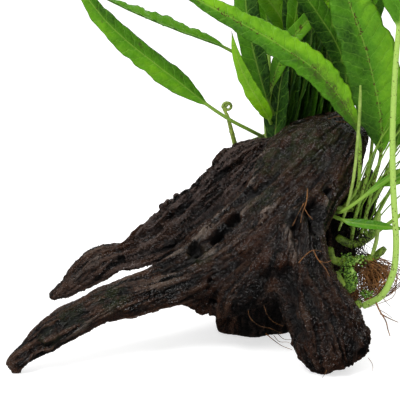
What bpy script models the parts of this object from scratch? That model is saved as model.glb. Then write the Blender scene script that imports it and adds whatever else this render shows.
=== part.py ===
"""Java fern growing on a root of driftwood, at real size.

+Z is up, +X runs towards the fern's side and -Y towards the front.  The origin is the middle of the
trunk's sawn foot, on the surface that the wood stands on.  Lengths below are millimetres.
"""
import math

import bmesh
import bpy
import numpy as np
from mathutils import Matrix, Vector
from mathutils.bvhtree import BVHTree

MM = 0.001
GAP = 0.3                    # clearance that touching pieces keep
SEAT_MARGIN = 0.1            # added where a stalk sits on its rhizome
FROND_MARGIN = 0.8           # added between a frond's stalk and the wood
STEM_MARGIN = 0.25           # added between a rhizome and the wood, as its path is eased afterwards
GROUND = 0.0                 # height of every face that the wood stands on

WOOD_VOXEL = 2.6             # grid that melts the wood's strands into one root
WOOD_TRIANGLES = 2500        # of the whole root, before it is split at its forks
STRAND_STEPS = 4             # sections between two points of a strand

LEAF_THICKNESS = 1.0         # of a blade along its midrib
TIP_HALF_WIDTH = 0.6         # of a blade where its tip is cut off
STALK_RADIUS = 0.95          # of a leaf's stalk, unless it is named below
STALK_RADII = {"frond_thick_stalk": 1.65}
STALK_OVAL = 1.15            # a stalk's width over its thickness
STALK_TAPER = 0.35           # share of a stalk's radius that is lost by the tip
STALK_STEP = 13              # length between two sections of a stalk
BLADE_STEPS = 7              # sections of a blade
FROND_SIDES = 6              # corners of a frond's section
RHIZOME_RADIUS = 2.3
CUT_END = 0.7                # radius of a rhizome's end over its own
GREEN_STEMS = ("young_shoot", "cut_stalk")   # stems that are stalks, not rhizomes

# The wood: strands of (x, y, z, radius), each a rounded root that runs into its neighbours.
STRANDS = {
    "ridge": [(21, -6, 101, 11), (12, -8, 90, 10.5), (1, -12, 72, 10), (-17, -20, 54, 10),
              (-33, -28, 45, 10), (-49, -36, 35.5, 10), (-66, -44, 31.5, 9.5), (-81, -50, 27.5, 9),
              (-97, -56, 19.5, 8.4), (-105, -59, 14, 7.4), (-112, -61, 9.5, 5.6),
              (-117, -62.5, 5.2, 5.6)],
    "middle": [(35, -9, 106, 10.5), (22, -18, 86, 11), (7, -28, 66, 11), (-10, -34, 47, 11),
               (-28, -38, 38, 9.5), (-45, -40, 35, 8.5), (-62, -46, 30, 8)],
    "lower": [(45, -11, 102, 10), (33, -24, 82, 10), (17, -42, 61, 12), (1, -42, 40, 12),
              (-15, -36, 29, 10.5), (-28, -36, 30.5, 8)],
    "belly": [(15, -34, 51, 13), (4, -16, 26, 14), (0, -4, 7, 12), (-3, 2, 1, 10)],
    "belly_left": [(-6, -14, 24, 11), (-11, -6, 12, 9.5), (-11, -1, 3, 8.5)],
    "belly_right": [(17, -30, 42, 12), (14, -6, 15, 12), (10, 4, 0, 10)],
    "foot": [(48, -6, 103, 10.5), (42, -14, 88, 11), (31, -26, 77, 10), (23, -38, 62, 11),
             (20, -46, 47, 12), (24, -54, 32, 13.5), (29, -59, 20, 14), (32, -60, 12.5, 13.6)],
    "foot_outer": [(24, -40, 63, 9), (27, -44, 50, 9.5), (31, -50, 38, 10.5), (40, -56, 26, 10.8),
                   (46, -58, 14, 10.6)],
    "slab_top": [(8, 12, 94, 7), (-7, 14, 90, 7), (-16, 16, 80.5, 7), (-28, 18, 68.5, 7),
                 (-39, 20, 60, 7), (-49, 22, 52, 6), (-59, 24, 44, 4.5), (-68, 26, 36, 3.4)],
    "slab_middle": [(4, 8, 85, 8), (-9, 12, 72, 8), (-25, 14, 59, 8), (-38, 16, 49, 7.5),
                    (-51, 20, 40, 6.6), (-65, 24, 32, 6.2), (-75, 28, 30.6, 8.6),
                    (-82, 30, 26.4, 10.2), (-91, 32, 19.6, 8.6), (-101, 34, 10.6, 5),
                    (-107, 36, 6.4, 4)],
    "slab_lower": [(-7, 4, 66, 9), (-25, 8, 51, 9), (-41, 12, 41, 8), (-54, 18, 36, 7.4),
                   (-66, 24, 30, 5.6)],
    "back": [(26, 6, 98, 13), (17, 14, 66, 14), (10, 18, 38, 14), (5, 14, 11, 13), (5, 10, -1, 10)],
    "crest": [(22, -1, 102, 10), (34, 0, 105, 10), (46, 0, 106, 10)],
    "right_heel": [(46, 3, 100, 11.5), (42, 12, 70, 13), (42, 18, 44, 13), (45, 26, 16, 11),
                   (50, 32, -2, 10)],
    "left_heel": [(-7, 18, 76, 9), (-11, 24, 47, 9), (-10, 26, 16, 9), (-8, 24, 1, 8)],
}

# Each limb that leaves the trunk: the middle, size and turn about Z (degrees) of the block it fills.
LIMBS = {
    "driftwood_front_arm": ((-104, -66, 22), (90, 90, 80), 16),
    "driftwood_back_arm": ((-106, 40, 32), (90, 70, 90), -10),
    "driftwood_front_foot": ((38, -66, 12), (60, 60, 40), 0),
}

# Rhizomes, roots' core and stubs that cling to the wood: their points and radius.
STEMS = {
    "rhizome_crest": ([(-12, 26, 88), (0, 25, 94), (10, 23, 99), (22, 23, 104), (34, 21, 108),
                       (46, 19, 109), (56, 13, 107)], RHIZOME_RADIUS),
    "rhizome_side": ([(42, -12, 54), (45, -13, 52), (49, -12, 50), (53, -9, 49), (58, -6, 51),
                      (62, -3, 54)], 2.2),
    "rhizome_lower": ([(38, -22, 51), (38, -26, 47), (42, -24, 44), (46, -19, 43), (52, -15, 42.5),
                       (58, -16, 43), (62, -18, 46), (66, -19, 50)], 2.1),
    "rhizome_heel": ([(52, -33, 25), (51, -26, 21), (52, -16, 18), (55, -4, 17)], 2.4),
    "rhizome_upper": ([(36, -20, 69), (43, -15, 69), (50, -10, 68)], 1.8),
    "rhizome_tip": ([(40, -30, 40.5), (41.5, -32, 38), (44, -34, 34.5)], 2.2),
    "young_shoot": ([(59, -22, 47), (61, -22.5, 54), (61.5, -23, 62), (62, -24, 70)], 1.15),
    "cut_stalk": ([(42, -22, 60), (47, -26, 78), (49, -30, 98), (50, -32, 122), (50, -32, 136)], 0.85),
}

# Fronds: rhizome, share of its length, points the midrib passes, blade width, stalk's share of the
# length, the way the blade faces.  A frond's own seat on its rhizome comes before its first point.
FRONT = (0, -0.97, 0.25)
FRONDS = {
    "frond_long_left": ("rhizome_crest", 0.27, [(-6, 8, 107), (-19, 3, 115.5), (-39, -2, 132.5),
                        (-65, -8, 154.5), (-81, -12, 173), (-94, -14, 196)], 13.6, 0.27,
                        (0.2, -0.9, 0.5)),
    "frond_edge_on": ("rhizome_crest", 0.455, [(6, 23, 128), (-12, 14, 145), (-33, 8, 154),
                      (-60, 2, 166), (-84, -4, 179)], 10, 0.4, (0.35, -0.3, 0.9)),
    "frond_brown_tip": ("rhizome_crest", 0.365, [(5, 2, 117), (-3, -5, 131), (-9, -8, 145),
                        (-12, -10, 159)], 8, 0.16, (-0.3, -0.95, 0.2)),
    "frond_dark_left": ("rhizome_crest", 0.425, [(8, 10, 117), (1, 5, 140), (-4, 3, 163), (-6, 1, 190),
                        (-13, -4, 222)], 13, 0.14, FRONT),
    "frond_midrib": ("rhizome_crest", 0.33, [(8, 15, 119), (13, 11, 140), (22, 9, 156), (36, 7, 171),
                     (52, 6, 190)], 9, 0.22, (0.2, -0.95, 0.2)),
    "frond_curved_stalk": ("rhizome_crest", 0.395, [(13, 19, 123), (17, 18, 139), (20, 16, 156),
                           (22, 13, 176), (20, 6, 214)], 10, 0.38, FRONT),
    "frond_crossing": ("rhizome_crest", 0.55, [(22, 28, 134), (15, 26, 158), (2, 21, 176),
                       (-16, 13, 196)], 11, 0.32, (-0.2, -0.95, 0.25)),
    "frond_behind_left": ("rhizome_crest", 0.485, [(16, 31, 138), (12, 34, 165), (7, 34, 190),
                          (2, 30, 224)], 12, 0.3, (-0.3, -0.9, 0.2)),
    "frond_dark_right": ("rhizome_crest", 0.82, [(47, 9, 130), (43, 4, 146), (35, -1, 160),
                         (21, -8, 180), (2, -14, 206)], 13, 0.1, (0.2, -0.95, 0.25)),
    "frond_front_diagonal": ("rhizome_upper", 0.6, [(51, -22, 92), (50, -27, 111), (33, -37, 139),
                             (8, -40, 158), (-26, -42, 177), (-46, -43, 188)], 16, 0.25,
                             (0.25, -0.85, 0.5)),
    "frond_broad_right": ("rhizome_side", 0.6, [(61, -11, 86), (63, -15, 102), (60, -18, 126),
                          (52, -22, 155), (44, -24, 176), (33, -26, 214)], 27, 0.27, FRONT),
    "frond_thick_stalk": ("rhizome_heel", 0.08, [(61, -36, 27.5), (67.5, -38, 41), (69, -38, 57),
                          (67, -36, 85), (66, -34, 114), (67, -32, 153), (71, -30, 200),
                          (76, -30, 252)], 26, 0.62, FRONT),
    "frond_plantlet_level": ("rhizome_upper", 0.05, [(47, -28, 66), (60, -31, 65), (76, -31, 63)],
                             5, 0.12, (0.1, -0.9, 0.6)),
    "frond_plantlet_rising": ("rhizome_upper", 0.25, [(45, -29, 73), (62, -31, 87), (80, -33, 101)],
                              3.6, 0.3, (-0.4, -0.9, 0.3)),
    "frond_plantlet_broad": ("rhizome_upper", 0.92, [(57, -5, 77), (73, -5, 83), (96, -6, 90)],
                             8, 0.3, (-0.3, -0.9, 0.4)),
    "frond_side_winged": ("rhizome_side", 0.3, [(52, -14, 70), (57, -12, 88), (59, -9, 106),
                    (58, -5, 130), (52, -5, 160), (48, -7, 196)], 12, 0.43, (-0.3, -0.95, 0.1)),
    "frond_side_leaning": ("rhizome_side", 0.8, [(58, -7, 68), (65, -8, 80), (70, -8, 96), (76, -7, 122),
                     (80, -6, 168)], 13, 0.4, (-0.2, -0.95, 0.1)),
    "frond_side_outward": ("rhizome_side", 0.97, [(65, -1, 66), (72, -1, 79), (81, 0, 98), (92, 3, 132),
                     (99, 5, 176)], 15, 0.35, (-0.5, -0.8, 0.2)),
}

# Fronds that arch out of the clump: rhizome, share of its length, heading about Z and rise of the
# stalk in degrees, length, degrees the tip droops by, blade width, stalk's share.
ARCHING = {
    "frond_inner_1": ("rhizome_crest", 0.515, -90, 87, 150, 4, 14, 0.05),
    "frond_inner_2": ("rhizome_crest", 0.62, -90, 81, 165, 6, 15, 0.05),
    "frond_inner_3": ("rhizome_crest", 0.67, 90, 89, 140, 3, 14, 0.05),
    "frond_inner_4": ("rhizome_crest", 0.73, -88, 84, 170, 5, 14, 0.06),
    "frond_inner_5": ("rhizome_crest", 0.585, 60, 80, 175, 10, 14, 0.13),
    "frond_inner_6": ("rhizome_crest", 0.88, -30, 82, 160, 8, 13, 0.1),
    "frond_inner_7": ("rhizome_crest", 0.76, 80, 85, 175, 11, 14, 0.07),
    "frond_back_1": ("rhizome_crest", 0.21, 82, -14, 125, 30, 13, 0.25),
    "frond_back_2": ("rhizome_crest", 0.17, 92, -24, 120, 30, 13, 0.25),
    "frond_back_3": ("rhizome_crest", 0.3, 94, 54, 165, 50, 15, 0.22),
    "frond_back_4": ("rhizome_crest", 0.36, 102, 74, 175, 20, 15, 0.2),
    "frond_back_5": ("rhizome_crest", 0.52, 84, 58, 160, 45, 16, 0.22),
    "frond_back_6": ("rhizome_crest", 0.645, 82, 72, 175, 34, 15, 0.22),
    "frond_back_7": ("rhizome_crest", 0.62, 72, 54, 165, 45, 16, 0.2),
    "frond_back_8": ("rhizome_crest", 0.7, 68, 70, 175, 32, 15, 0.22),
    "frond_back_9": ("rhizome_crest", 0.79, 56, 54, 155, 42, 14, 0.22),
    "frond_back_10": ("rhizome_crest", 0.85, 48, 72, 175, 26, 15, 0.22),
    "frond_right_1": ("rhizome_crest", 0.94, 25, 58, 150, 35, 14, 0.22),
    "frond_right_2": ("rhizome_crest", 0.985, -2, 68, 145, 24, 14, 0.24),
    "frond_right_3": ("rhizome_side", 0.9, -14, 40, 130, 10, 13, 0.35),
}

ARCH_STEPS = 12              # points along an arching frond
ARCH_EASE = 1.5              # how late an arching frond starts to droop

# The rolled young frond: its stalk's points, the roll's middle, widest reach, turns, narrowing, radii.
CURL_STALK = [(-10, 20, 98), (-11, 15, 102), (-13, 11, 109), (-15.5, 10, 114)]
CURL_MIDDLE = (-13.4, 10, 116.5)
CURL_REACH = 3.4
CURL_TURNS = 1.3
CURL_NARROWING = 0.72
CURL_STEPS = 18
CURL_RADII = (0.95, 0.6)

# Soft clumps: middle, size and look.
CLUMPS = {
    "root_bundle": ((64, -12, 31), (14, 12, 17), "root"),
    "root_mat": ((62, 8, 70), (13, 15, 34), "root"),
    "moss_tuft": ((48, -29, 36), (7, 5, 12), "moss"),
}

# Looks: colour and roughness.
BARK = ((0.05, 0.035, 0.028), 0.45)
LEAF = ((0.10, 0.30, 0.03), 0.35)
STALK = ((0.30, 0.42, 0.12), 0.4)
RHIZOME = ((0.16, 0.22, 0.04), 0.5)
ROOT = ((0.16, 0.06, 0.02), 0.8)
MOSS = ((0.12, 0.30, 0.04), 0.9)


def clear_scene():
    """Remove whatever the file holds."""
    for item in list(bpy.data.objects):
        bpy.data.objects.remove(item, do_unlink=True)


def new_collection(name):
    """An empty collection in the scene."""
    collection = bpy.data.collections.new(name)
    bpy.context.scene.collection.children.link(collection)
    return collection


def material(name, look):
    """A Principled material of one colour and roughness."""
    colour, roughness = look
    made = bpy.data.materials.new(name)
    made.use_nodes = True
    shader = made.node_tree.nodes["Principled BSDF"]
    shader.inputs["Base Color"].default_value = (*colour, 1)
    shader.inputs["Roughness"].default_value = roughness
    shader.inputs["Metallic"].default_value = 0
    return made


def add_object(name, data, collection):
    """An object that shows the data, in the collection."""
    made = bpy.data.objects.new(name, data)
    collection.objects.link(made)
    return made


def smooth_path(points, steps):
    """Rows along a Catmull-Rom curve through the points, with steps rows from each to the next."""
    rows = np.asarray(points, float)
    rows = np.vstack([2 * rows[0] - rows[1], rows, 2 * rows[-1] - rows[-2]])
    before, start, end, after = rows[:-3], rows[1:-2], rows[2:-1], rows[3:]
    share = np.linspace(0, 1, steps, endpoint=False)[None, :, None]
    before, start, end, after = (part[:, None, :] for part in (before, start, end, after))
    curve = 0.5 * (2 * start + (end - before) * share
                   + (2 * before - 5 * start + 4 * end - after) * share ** 2
                   + (3 * start - before - 3 * end + after) * share ** 3)
    return np.vstack([curve.reshape(-1, rows.shape[1]), rows[-2]])


def along(path, shares):
    """Points at the given shares of a path's length."""
    path = np.asarray(path, float)
    run = np.concatenate([[0], np.cumsum(np.linalg.norm(np.diff(path, axis=0), axis=1))])
    return np.column_stack([np.interp(np.asarray(shares) * run[-1], run, column) for column in path.T])


def tube(name, path, radii, collection, resolution=2):
    """A round bar along a path, with a radius at each point and flat ends."""
    curve = bpy.data.curves.new(name, "CURVE")
    curve.dimensions = "3D"
    curve.bevel_depth = MM
    curve.bevel_resolution = resolution
    curve.use_fill_caps = True
    spline = curve.splines.new("POLY")
    spline.points.add(len(path) - 1)
    for point, place, radius in zip(spline.points, path, radii):
        point.co = (*(float(value) * MM for value in place), 1)
        point.radius = float(radius)
    return add_object(name, curve, collection)


def as_mesh(item, collection):
    """The evaluated shape of an object as a plain mesh object, with a curve's caps welded on."""
    name = item.name
    evaluated = item.evaluated_get(bpy.context.evaluated_depsgraph_get())
    mesh = bpy.data.meshes.new_from_object(evaluated)
    mesh.transform(item.matrix_world)
    shape = bmesh.new()
    shape.from_mesh(mesh)
    bmesh.ops.remove_doubles(shape, verts=shape.verts, dist=0.01 * MM)
    shape.to_mesh(mesh)
    shape.free()
    bpy.data.objects.remove(item, do_unlink=True)
    return add_object(name, mesh, collection)


def grown_root(guides):
    """The whole root: its strands melted together by a voxel remesh, then smoothed and thinned."""
    shape = bmesh.new()
    for name, points in STRANDS.items():
        rows = smooth_path(points, STRAND_STEPS)
        strand = as_mesh(tube(name, rows[:, :3], rows[:, 3], guides, 3), guides)
        shape.from_mesh(strand.data)
        for row in (rows[0], rows[-1]):
            ball = Matrix.Translation(Vector(row[:3]) * MM)
            bmesh.ops.create_icosphere(shape, subdivisions=2, radius=row[3] * MM, matrix=ball)
        bpy.data.objects.remove(strand, do_unlink=True)
    mesh = bpy.data.meshes.new("root_blank")
    shape.to_mesh(mesh)
    shape.free()
    blank = add_object("root_blank", mesh, guides)
    remesh = blank.modifiers.new("melt", "REMESH")
    remesh.mode = "VOXEL"
    remesh.voxel_size = WOOD_VOXEL * MM
    smooth = blank.modifiers.new("smooth", "SMOOTH")
    smooth.iterations = 2
    blank = as_mesh(blank, guides)
    thin = blank.modifiers.new("thin", "DECIMATE")
    thin.ratio = WOOD_TRIANGLES / sum(len(face.vertices) - 2 for face in blank.data.polygons)
    return as_mesh(blank, guides)


def block(name, centre, size, turn, guides):
    """A box that cuts other pieces, turned about Z."""
    bpy.ops.mesh.primitive_cube_add(size=1)
    cutter = bpy.context.object
    cutter.name = name
    place = Matrix.Translation(Vector(centre) * MM) @ Matrix.Rotation(math.radians(turn), 4, "Z")
    cutter.data.transform(place @ Matrix.Diagonal((*(Vector(size) * MM), 1)))
    for holder in list(cutter.users_collection):
        holder.objects.unlink(cutter)
    guides.objects.link(cutter)
    cutter.hide_render = True
    cutter.display_type = "WIRE"
    return cutter


def cut(item, cutter, operation):
    """Keep or drop what the cutter holds of an item."""
    step = item.modifiers.new(cutter.name, "BOOLEAN")
    step.operation = operation
    step.object = cutter
    step.solver = "EXACT"


def driftwood(parts, guides, look):
    """The trunk and its limbs, split at the forks and sawn flat where they stand."""
    blank = grown_root(guides)
    ground = block("ground", (0, 0, GROUND - 50), (400, 400, 100), 0, guides)   # reaches past every limb
    trunk = add_object("driftwood_trunk", blank.data.copy(), parts)
    for name, (centre, size, turn) in LIMBS.items():
        limb = add_object(name, blank.data.copy(), parts)
        cut(limb, block(name + "_block", centre, size, turn, guides), "INTERSECT")
        cut(limb, ground, "DIFFERENCE")
        limb.data.materials.append(look)
        wider = tuple(side + 2 * GAP for side in size)
        cut(trunk, block(name + "_gap", centre, wider, turn, guides), "DIFFERENCE")
    cut(trunk, ground, "DIFFERENCE")
    trunk.data.materials.append(look)
    shape = bmesh.new()
    shape.from_mesh(blank.data)
    surface = BVHTree.FromBMesh(shape)
    shape.free()
    bpy.data.objects.remove(blank, do_unlink=True)
    return surface


def cleared(path, radius, surface):
    """A path moved out of the wood, so that a bar of that radius keeps the gap to it."""
    moved = []
    for place in path:
        point = Vector(place) * MM
        near, normal, _, distance = surface.find_nearest(point)
        inside = (point - near).dot(normal) < 0
        wanted = (radius + GAP) * MM
        if inside or distance < wanted:
            point = near + normal * wanted
        moved.append(point / MM)
    return np.array(moved)


def stem(name, points, radius, surface, parts, look):
    """A rhizome or stub: a round bar that follows its points along the wood."""
    path = cleared(smooth_path(points, 2), radius + STEM_MARGIN, surface)
    path[1:-1] = 0.5 * path[1:-1] + 0.25 * (path[:-2] + path[2:])
    radii = np.full(len(path), float(radius))
    radii[[0, -1]] *= CUT_END
    made = tube(name, path, radii, parts)
    made.data.materials.append(look)
    return path


def seat(path, share, radius, towards, stalk):
    """Where a stalk leaves a rhizome: on its skin, on the side that faces the stalk's next point."""
    behind, here, ahead = along(path, [max(share - 0.01, 0), share, min(share + 0.01, 1)])
    axis = (ahead - behind) / np.linalg.norm(ahead - behind)
    way = np.asarray(towards, float) - here
    slope = way.dot(axis)
    out = way - slope * axis
    lean = abs(slope) / np.linalg.norm(out)
    return here + out / np.linalg.norm(out) * (radius + GAP + SEAT_MARGIN + stalk * min(lean, 1.5))


def blade_width(share):
    """A leaf's outline: 0 at both ends, 1 where it is broadest, with a long drawn-out tip."""
    return np.sin(np.pi * share ** 0.72) ** 0.85


def frond(name, path, width, stalk_share, faces, parts, look, stalk=STALK_RADIUS):
    """A stalk and its blade in one loft of six-sided sections along the midrib."""
    length = np.linalg.norm(np.diff(path, axis=0), axis=1).sum()
    stalk_steps = max(2, round(length * stalk_share / STALK_STEP))
    stations = np.concatenate([np.linspace(0, stalk_share, stalk_steps, endpoint=False),
                               stalk_share + (1 - stalk_share) * np.linspace(0, 1, BLADE_STEPS)])
    centres = along(path, stations)
    tangents = np.gradient(centres, axis=0)
    tangents /= np.linalg.norm(tangents, axis=1)[:, None]
    sides = np.cross(tangents, np.asarray(faces, float))
    sides /= np.linalg.norm(sides, axis=1)[:, None]
    normals = np.cross(sides, tangents)
    in_blade = np.clip((stations - stalk_share) / (1 - stalk_share), 0, 1)
    slim = stalk * (1 - STALK_TAPER * stations)
    half_width = np.maximum(slim * STALK_OVAL, width / 2 * blade_width(in_blade))
    half_height = np.where(in_blade > 0, LEAF_THICKNESS / 2, slim)
    half_width[-1] = TIP_HALF_WIDTH
    turn = np.arange(FROND_SIDES) * 2 * np.pi / FROND_SIDES
    rings = (centres[:, None, :]
             + (half_width[:, None] * np.cos(turn))[:, :, None] * sides[:, None, :]
             + (half_height[:, None] * np.sin(turn))[:, :, None] * normals[:, None, :])
    corner = np.arange(rings.shape[0] * FROND_SIDES).reshape(-1, FROND_SIDES)
    onward = np.roll(corner, -1, axis=1)
    walls = np.stack([corner[:-1], onward[:-1], onward[1:], corner[1:]], axis=2).reshape(-1, 4)
    outline = [*walls.tolist(), corner[0][::-1].tolist(), corner[-1].tolist()]
    mesh = bpy.data.meshes.new(name)
    mesh.from_pydata((rings.reshape(-1, 3) * MM).tolist(), [], outline)
    shape = bmesh.new()
    shape.from_mesh(mesh)
    bmesh.ops.triangulate(shape, faces=shape.faces)
    bmesh.ops.recalc_face_normals(shape, faces=shape.faces)
    shape.to_mesh(mesh)
    shape.free()
    mesh.materials.append(look)
    return add_object(name, mesh, parts)


def arch(start, heading, rise, length, droop):
    """Points of a stalk that leaves at a rise and bends over evenly towards its tip."""
    share = np.linspace(0, 1, ARCH_STEPS)
    angle = np.radians(rise - droop * share ** ARCH_EASE)
    turn = math.radians(heading)
    step = length / (len(share) - 1)
    flat = np.concatenate([[0], np.cumsum(np.cos(angle[:-1]) * step)])
    high = np.concatenate([[0], np.cumsum(np.sin(angle[:-1]) * step)])
    return np.asarray(start) + np.column_stack([flat * math.cos(turn), flat * math.sin(turn), high])


def fern(parts, surface, looks):
    """Every frond on its rhizome."""
    paths = {}
    for name, (points, radius) in STEMS.items():
        look = looks["stalk" if name in GREEN_STEMS else "rhizome"]
        paths[name] = stem(name, points, radius, surface, parts, look)
    for name, (root, share, points, width, stalk_share, faces) in FRONDS.items():
        stalk = STALK_RADII.get(name, STALK_RADIUS)
        start = seat(paths[root], share, STEMS[root][1], points[0], stalk)
        path = cleared(smooth_path([start, *points], 8), stalk + FROND_MARGIN, surface)
        frond(name, path, width, stalk_share, faces, parts, looks["leaf"], stalk)
    for name, (root, share, heading, rise, length, droop, width, stalk_share) in ARCHING.items():
        turn, climb = math.radians(heading), math.radians(rise)
        level = np.array([math.cos(turn), math.sin(turn), 0])
        out = level * math.cos(climb) + np.array([0, 0, math.sin(climb)])
        here = along(paths[root], [share])[0]
        start = seat(paths[root], share, STEMS[root][1], here + out * STALK_STEP, STALK_RADIUS)
        path = arch(start, heading, rise, length, droop)
        faces = np.array([0, 0, math.cos(climb)]) - level * math.sin(climb)
        frond(name, path, width, stalk_share, faces, parts, looks["leaf"])


def fiddlehead(parts, surface, look):
    """A young frond still rolled up at its tip: a thin stalk that ends in a flat spiral."""
    turns = np.linspace(0, CURL_TURNS * 2 * np.pi, CURL_STEPS)
    reach = CURL_REACH * (1 - CURL_NARROWING * turns / turns[-1])
    x, y, z = CURL_MIDDLE
    curl = np.column_stack([x - reach * np.cos(turns), np.full(CURL_STEPS, float(y)),
                            z + reach * np.sin(turns)])
    path = np.vstack([smooth_path(CURL_STALK, 3)[:-1], curl])
    path = cleared(path, CURL_RADII[0] + STEM_MARGIN, surface)
    radii = np.linspace(*CURL_RADII, len(path))
    made = tube("fiddlehead", path, radii, parts)
    made.data.materials.append(look)


def lump(name, centre, size, parts, look):
    """A soft rounded clump, from a ball stretched to its size."""
    shape = bmesh.new()
    place = Matrix.Translation(Vector(centre) * MM) @ Matrix.Diagonal((*(Vector(size) / 2 * MM), 1))
    bmesh.ops.create_icosphere(shape, subdivisions=2, radius=1, matrix=place)
    mesh = bpy.data.meshes.new(name)
    shape.to_mesh(mesh)
    shape.free()
    mesh.materials.append(look)
    add_object(name, mesh, parts)


def build():
    clear_scene()
    parts = new_collection("java_fern_on_driftwood")
    guides = new_collection("cutters")
    looks = {"leaf": material("leaf", LEAF), "stalk": material("stalk", STALK),
             "rhizome": material("rhizome", RHIZOME)}
    surface = driftwood(parts, guides, material("bark", BARK))
    fern(parts, surface, looks)
    fiddlehead(parts, surface, looks["stalk"])
    soft = {"root": material("root", ROOT), "moss": material("moss", MOSS)}
    for name, (centre, size, look) in CLUMPS.items():
        lump(name, centre, size, parts, soft[look])


build()
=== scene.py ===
"""The looks of a java fern on driftwood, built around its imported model.

+Z is up, +X runs towards the fern's side and -Y towards the front.  Shapes are worked out in millimetres
in the row's frame, and go into their meshes in metres.
"""
import math

import bpy
import numpy as np
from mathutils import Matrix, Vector


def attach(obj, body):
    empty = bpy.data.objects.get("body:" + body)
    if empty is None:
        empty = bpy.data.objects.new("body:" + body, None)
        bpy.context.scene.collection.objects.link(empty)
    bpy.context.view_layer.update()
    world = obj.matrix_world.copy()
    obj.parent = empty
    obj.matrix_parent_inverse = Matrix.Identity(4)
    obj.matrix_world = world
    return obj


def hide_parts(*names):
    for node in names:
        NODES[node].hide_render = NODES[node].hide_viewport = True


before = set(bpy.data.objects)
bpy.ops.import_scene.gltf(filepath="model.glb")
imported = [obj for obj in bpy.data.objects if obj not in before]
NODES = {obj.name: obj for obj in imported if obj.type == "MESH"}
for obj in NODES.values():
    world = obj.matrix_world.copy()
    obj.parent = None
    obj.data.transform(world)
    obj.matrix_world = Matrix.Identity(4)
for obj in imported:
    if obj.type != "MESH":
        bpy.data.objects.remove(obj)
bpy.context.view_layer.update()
MM = 0.001

# ---------------------------------------------------------------- sizes and places, in millimetres

WOOD_NODES = ("driftwood_trunk", "driftwood_front_arm", "driftwood_back_arm", "driftwood_front_foot")
WOOD_SEAM = 0.3           # how far the limbs swell first, so that they melt into the trunk
WOOD_VOXEL = 0.93         # grid of the finished wood
WOOD_PASSES = 16          # rounds of smoothing that take the facets out
GRAIN_REACH = 5.0         # how softly one grain line gives way to the next
COMB_STEPS = 13           # steps that each way of combing takes along the grain
COMB_STRIDE = 0.8         # length of a step
COMB_SPREAD = 0.3         # spread of the combed values
# Channels deeper than SHARP_DEPTH get near-black painted shade from rim to rim.
SHARP_DEPTH = 9.0         # a channel deeper than this is black from rim to rim

# Lines that the grain follows, from the crest down into each limb.
GRAIN_LINES = [
    [(45, -7, 113), (22, -24, 97), (7, -27, 82), (-8, -27, 67), (-28, -34, 53), (-47, -43, 43),
     (-66, -52, 36), (-90, -62, 24), (-117, -66, 8)],
    [(30, -8, 112), (9, -11, 100), (0, -15, 86), (-15, -16, 69), (-35, -32, 53), (-62, -45, 41),
     (-86, -54, 30), (-108, -62, 14)],
    [(47, -19, 106), (32, -29, 90), (16, -38, 78), (3, -42, 63), (-13, -43, 52), (-28, -45, 44),
     (-50, -48, 34), (-76, -52, 22), (-100, -60, 8)],
    [(50, -14, 110), (44, -24, 97), (34, -37, 80), (28, -48, 65), (31, -54, 49), (40, -62, 33),
     (48, -66, 14), (48, -60, 0)],
    [(38, -24, 96), (22, -41, 74), (16, -52, 58), (14, -58, 42), (22, -68, 24), (26, -70, 6)],
    [(14, -40, 62), (-2, -48, 48), (-14, -46, 34), (-10, -22, 14), (-6, -6, 0)],
    [(24, -30, 50), (16, -14, 24), (10, 0, 0)],
    [(28, 4, 112), (8, 16, 101), (-16, 20, 86), (-39, 22, 66), (-60, 26, 46), (-74, 28, 38),
     (-92, 32, 22), (-107, 36, 6)],
    [(12, 6, 92), (-10, 8, 72), (-34, 8, 52), (-56, 16, 36), (-76, 26, 24), (-96, 34, 8)],
    [(50, 4, 112), (48, 14, 84), (48, 22, 52), (50, 30, 20), (52, 34, 0)],
    [(22, 18, 108), (14, 28, 74), (8, 30, 40), (2, 28, 8)],
    [(-2, 28, 90), (-12, 32, 60), (-13, 34, 30), (-10, 32, 0)],
]

# Sharp lips that stand out along the grain, and that carry a pale painted highlight: points, width, height.
LIPS = [
    ([(14, -12, 106), (4, -9, 96), (0, -14, 86), (-6, -17, 78), (-15, -16, 69), (-23, -22, 61),
      (-35, -32, 53), (-52, -39, 45), (-68, -48, 39), (-82, -55, 32)], 1.7, 1.5),
    ([(8, -22, 86), (0, -21, 77), (-7, -24, 70), (-14, -29, 59), (-22, -34, 52), (-35, -41, 45),
      (-52, -48, 39), (-70, -54, 33)], 1.8, 1.3),
    ([(13, -32, 83), (2, -36, 71), (-4, -38, 64), (-12, -41, 57)], 1.8, 1.2),
    ([(20, -40, 81), (17, -41, 77), (15, -48, 71), (17, -54, 61), (21, -57, 53)], 1.6, 1.5),
    ([(36, -34, 84), (36, -39, 75), (38, -43, 64), (39, -48, 56)], 1.8, 1.3),
    ([(-60, -56, 32), (-78, -60, 25), (-96, -65, 16)], 1.6, 0.9),
    ([(-68, 22, 38), (-78, 21, 36), (-88, 24, 26), (-98, 30, 15)], 1.7, 1.0),
    ([(-62, 18, 34), (-40, 13, 50), (-22, 11, 66)], 2.0, 1.2),
    ([(-92, 29, 32), (-85, 27, 35), (-78, 22, 36)], 3.2, 0.7),
]

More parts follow.
